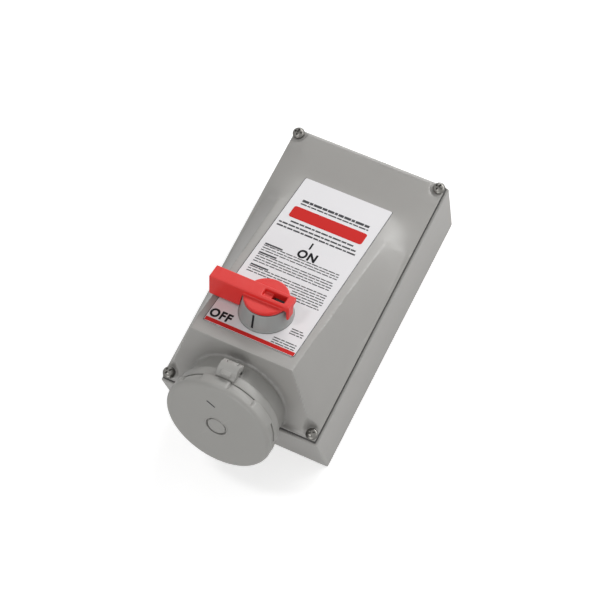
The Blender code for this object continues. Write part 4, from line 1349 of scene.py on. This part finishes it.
@dataclass
class Studio:
    """Camera, floor, lamps and world."""

    azimuth: float = 43.13
    elevation: float = 65.68
    roll: float = -17.94
    distance: float = 2.0986
    target: Place = (0.01015, -0.02155, 0.0744)
    focal_pixels: float = 2468.0
    image_size: float = 608.0
    sensor: float = 36.0
    floor_lift: float = 0.45
    world_light: float = 0.3
    view_depth: float = 20.0
    floor_size: float = 6.0
    floor_grey: float = 0.9
    floor_roughness: float = 0.9
    lamp_target: Place = (0, 0, 0.06)

    def build(self) -> None:
        """Set up the whole stage."""
        bpy.context.scene.view_settings.view_transform = "Standard"
        self.camera()
        self.floor()
        for lamp in LAMPS:
            self.light(lamp)
        self.world()

    def camera(self) -> None:
        """Place the camera at the photograph's viewing angle."""
        azimuth = math.radians(self.azimuth)
        elevation = math.radians(self.elevation)
        roll = math.radians(self.roll)
        back = Vector((math.sin(azimuth) * math.cos(elevation), -math.cos(azimuth) * math.cos(elevation),
                       math.sin(elevation)))
        across = (-back).cross(Vector((0, 0, 1))).normalized()
        upward = across.cross(-back)
        right = math.cos(roll) * across + math.sin(roll) * upward
        top = -math.sin(roll) * across + math.cos(roll) * upward
        matrix = Matrix((right, top, back)).transposed().to_4x4()
        matrix.translation = Vector(self.target) + back * self.distance
        lens = bpy.data.cameras.new("photo_camera")
        lens.sensor_width = self.sensor
        lens.lens = self.focal_pixels / self.image_size * self.sensor
        lens.clip_end = self.view_depth
        made = add_object("photo_camera", lens)
        made.matrix_world = matrix
        bpy.context.scene.camera = made

    def floor(self) -> None:
        """A plain pale floor under the box that shows white and keeps the shadow."""
        bm = bmesh.new()
        bmesh.ops.create_grid(bm, x_segments=1, y_segments=1, size=self.floor_size)
        floor = shape_object("studio_floor", bm)
        pale = bpy.data.materials.new("pale_floor")
        pale.use_nodes = True
        tree = pale.node_tree
        shader = tree.nodes["Principled BSDF"]
        shader.inputs["Base Color"].default_value = (self.floor_grey, self.floor_grey, self.floor_grey, 1)
        shader.inputs["Roughness"].default_value = self.floor_roughness
        shader.inputs["Emission Color"].default_value = (1, 1, 1, 1)
        paths = tree.nodes.new("ShaderNodeLightPath")
        shown = math_node(tree, "MULTIPLY", paths.outputs["Is Camera Ray"], self.floor_lift)
        tree.links.new(shown, shader.inputs["Emission Strength"])
        floor.data.materials.append(pale)

    def light(self, lamp: Lamp) -> None:
        """Add one soft light aimed at the box.

        Args:
            lamp: Its place, size and power.
        """
        light = bpy.data.lights.new(lamp.name, "AREA")
        light.shape = "RECTANGLE"
        light.size, light.size_y = lamp.size
        light.energy = lamp.power
        made = add_object(lamp.name, light)
        made.location = lamp.place
        aim = Vector(self.lamp_target) - Vector(lamp.place)
        made.rotation_euler = aim.to_track_quat("-Z", "Y").to_euler()

    def world(self) -> None:
        """Soft light from all round, with white where the camera or a reflection sees it."""
        world = bpy.data.worlds.new("studio_world")
        world.use_nodes = True
        tree = world.node_tree
        paths = tree.nodes.new("ShaderNodeLightPath")
        seen = math_node(tree, "MAXIMUM", paths.outputs["Is Camera Ray"], paths.outputs["Is Glossy Ray"])
        level = tree.nodes.new("ShaderNodeMapRange")
        level.inputs["To Min"].default_value = self.world_light
        level.inputs["To Max"].default_value = 1.0
        tree.links.new(seen, level.inputs["Value"])
        background = tree.nodes["Background"]
        tree.links.new(level.outputs["Result"], background.inputs["Strength"])
        background.inputs["Color"].default_value = (1, 1, 1, 1)
        bpy.context.scene.world = world


def dress_nodes(shop: Workshop) -> None:
    """Give every CAD node that stays in view its finish.

    Args:
        shop: The frame and the built materials.
    """
    for name, node in shop.frame["nodes"].items():
        stem = name if name in NODE_FINISHES else name.rstrip("0123456789").rstrip("_")
        finish = NODE_FINISHES.get(stem)
        if finish is None:
            continue
        node.data.materials.clear()
        node.data.materials.append(shop.finish(finish))
        LOG.info("%s: %s", name, finish.name)


def main() -> None:
    """Build the dressed object and its stage."""
    logging.basicConfig(level=logging.INFO, format="%(message)s")
    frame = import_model()
    effects = Effects.build()
    shop = Workshop(frame, {finish.name: finish.build(effects) for finish in FINISHES})
    dress_nodes(shop)
    Enclosure(shop).build()
    PanelLabel(shop).build()
    Switch(shop).build()
    Receptacle(shop).build()
    Studio().build()


if __name__ == "__main__":
    main()
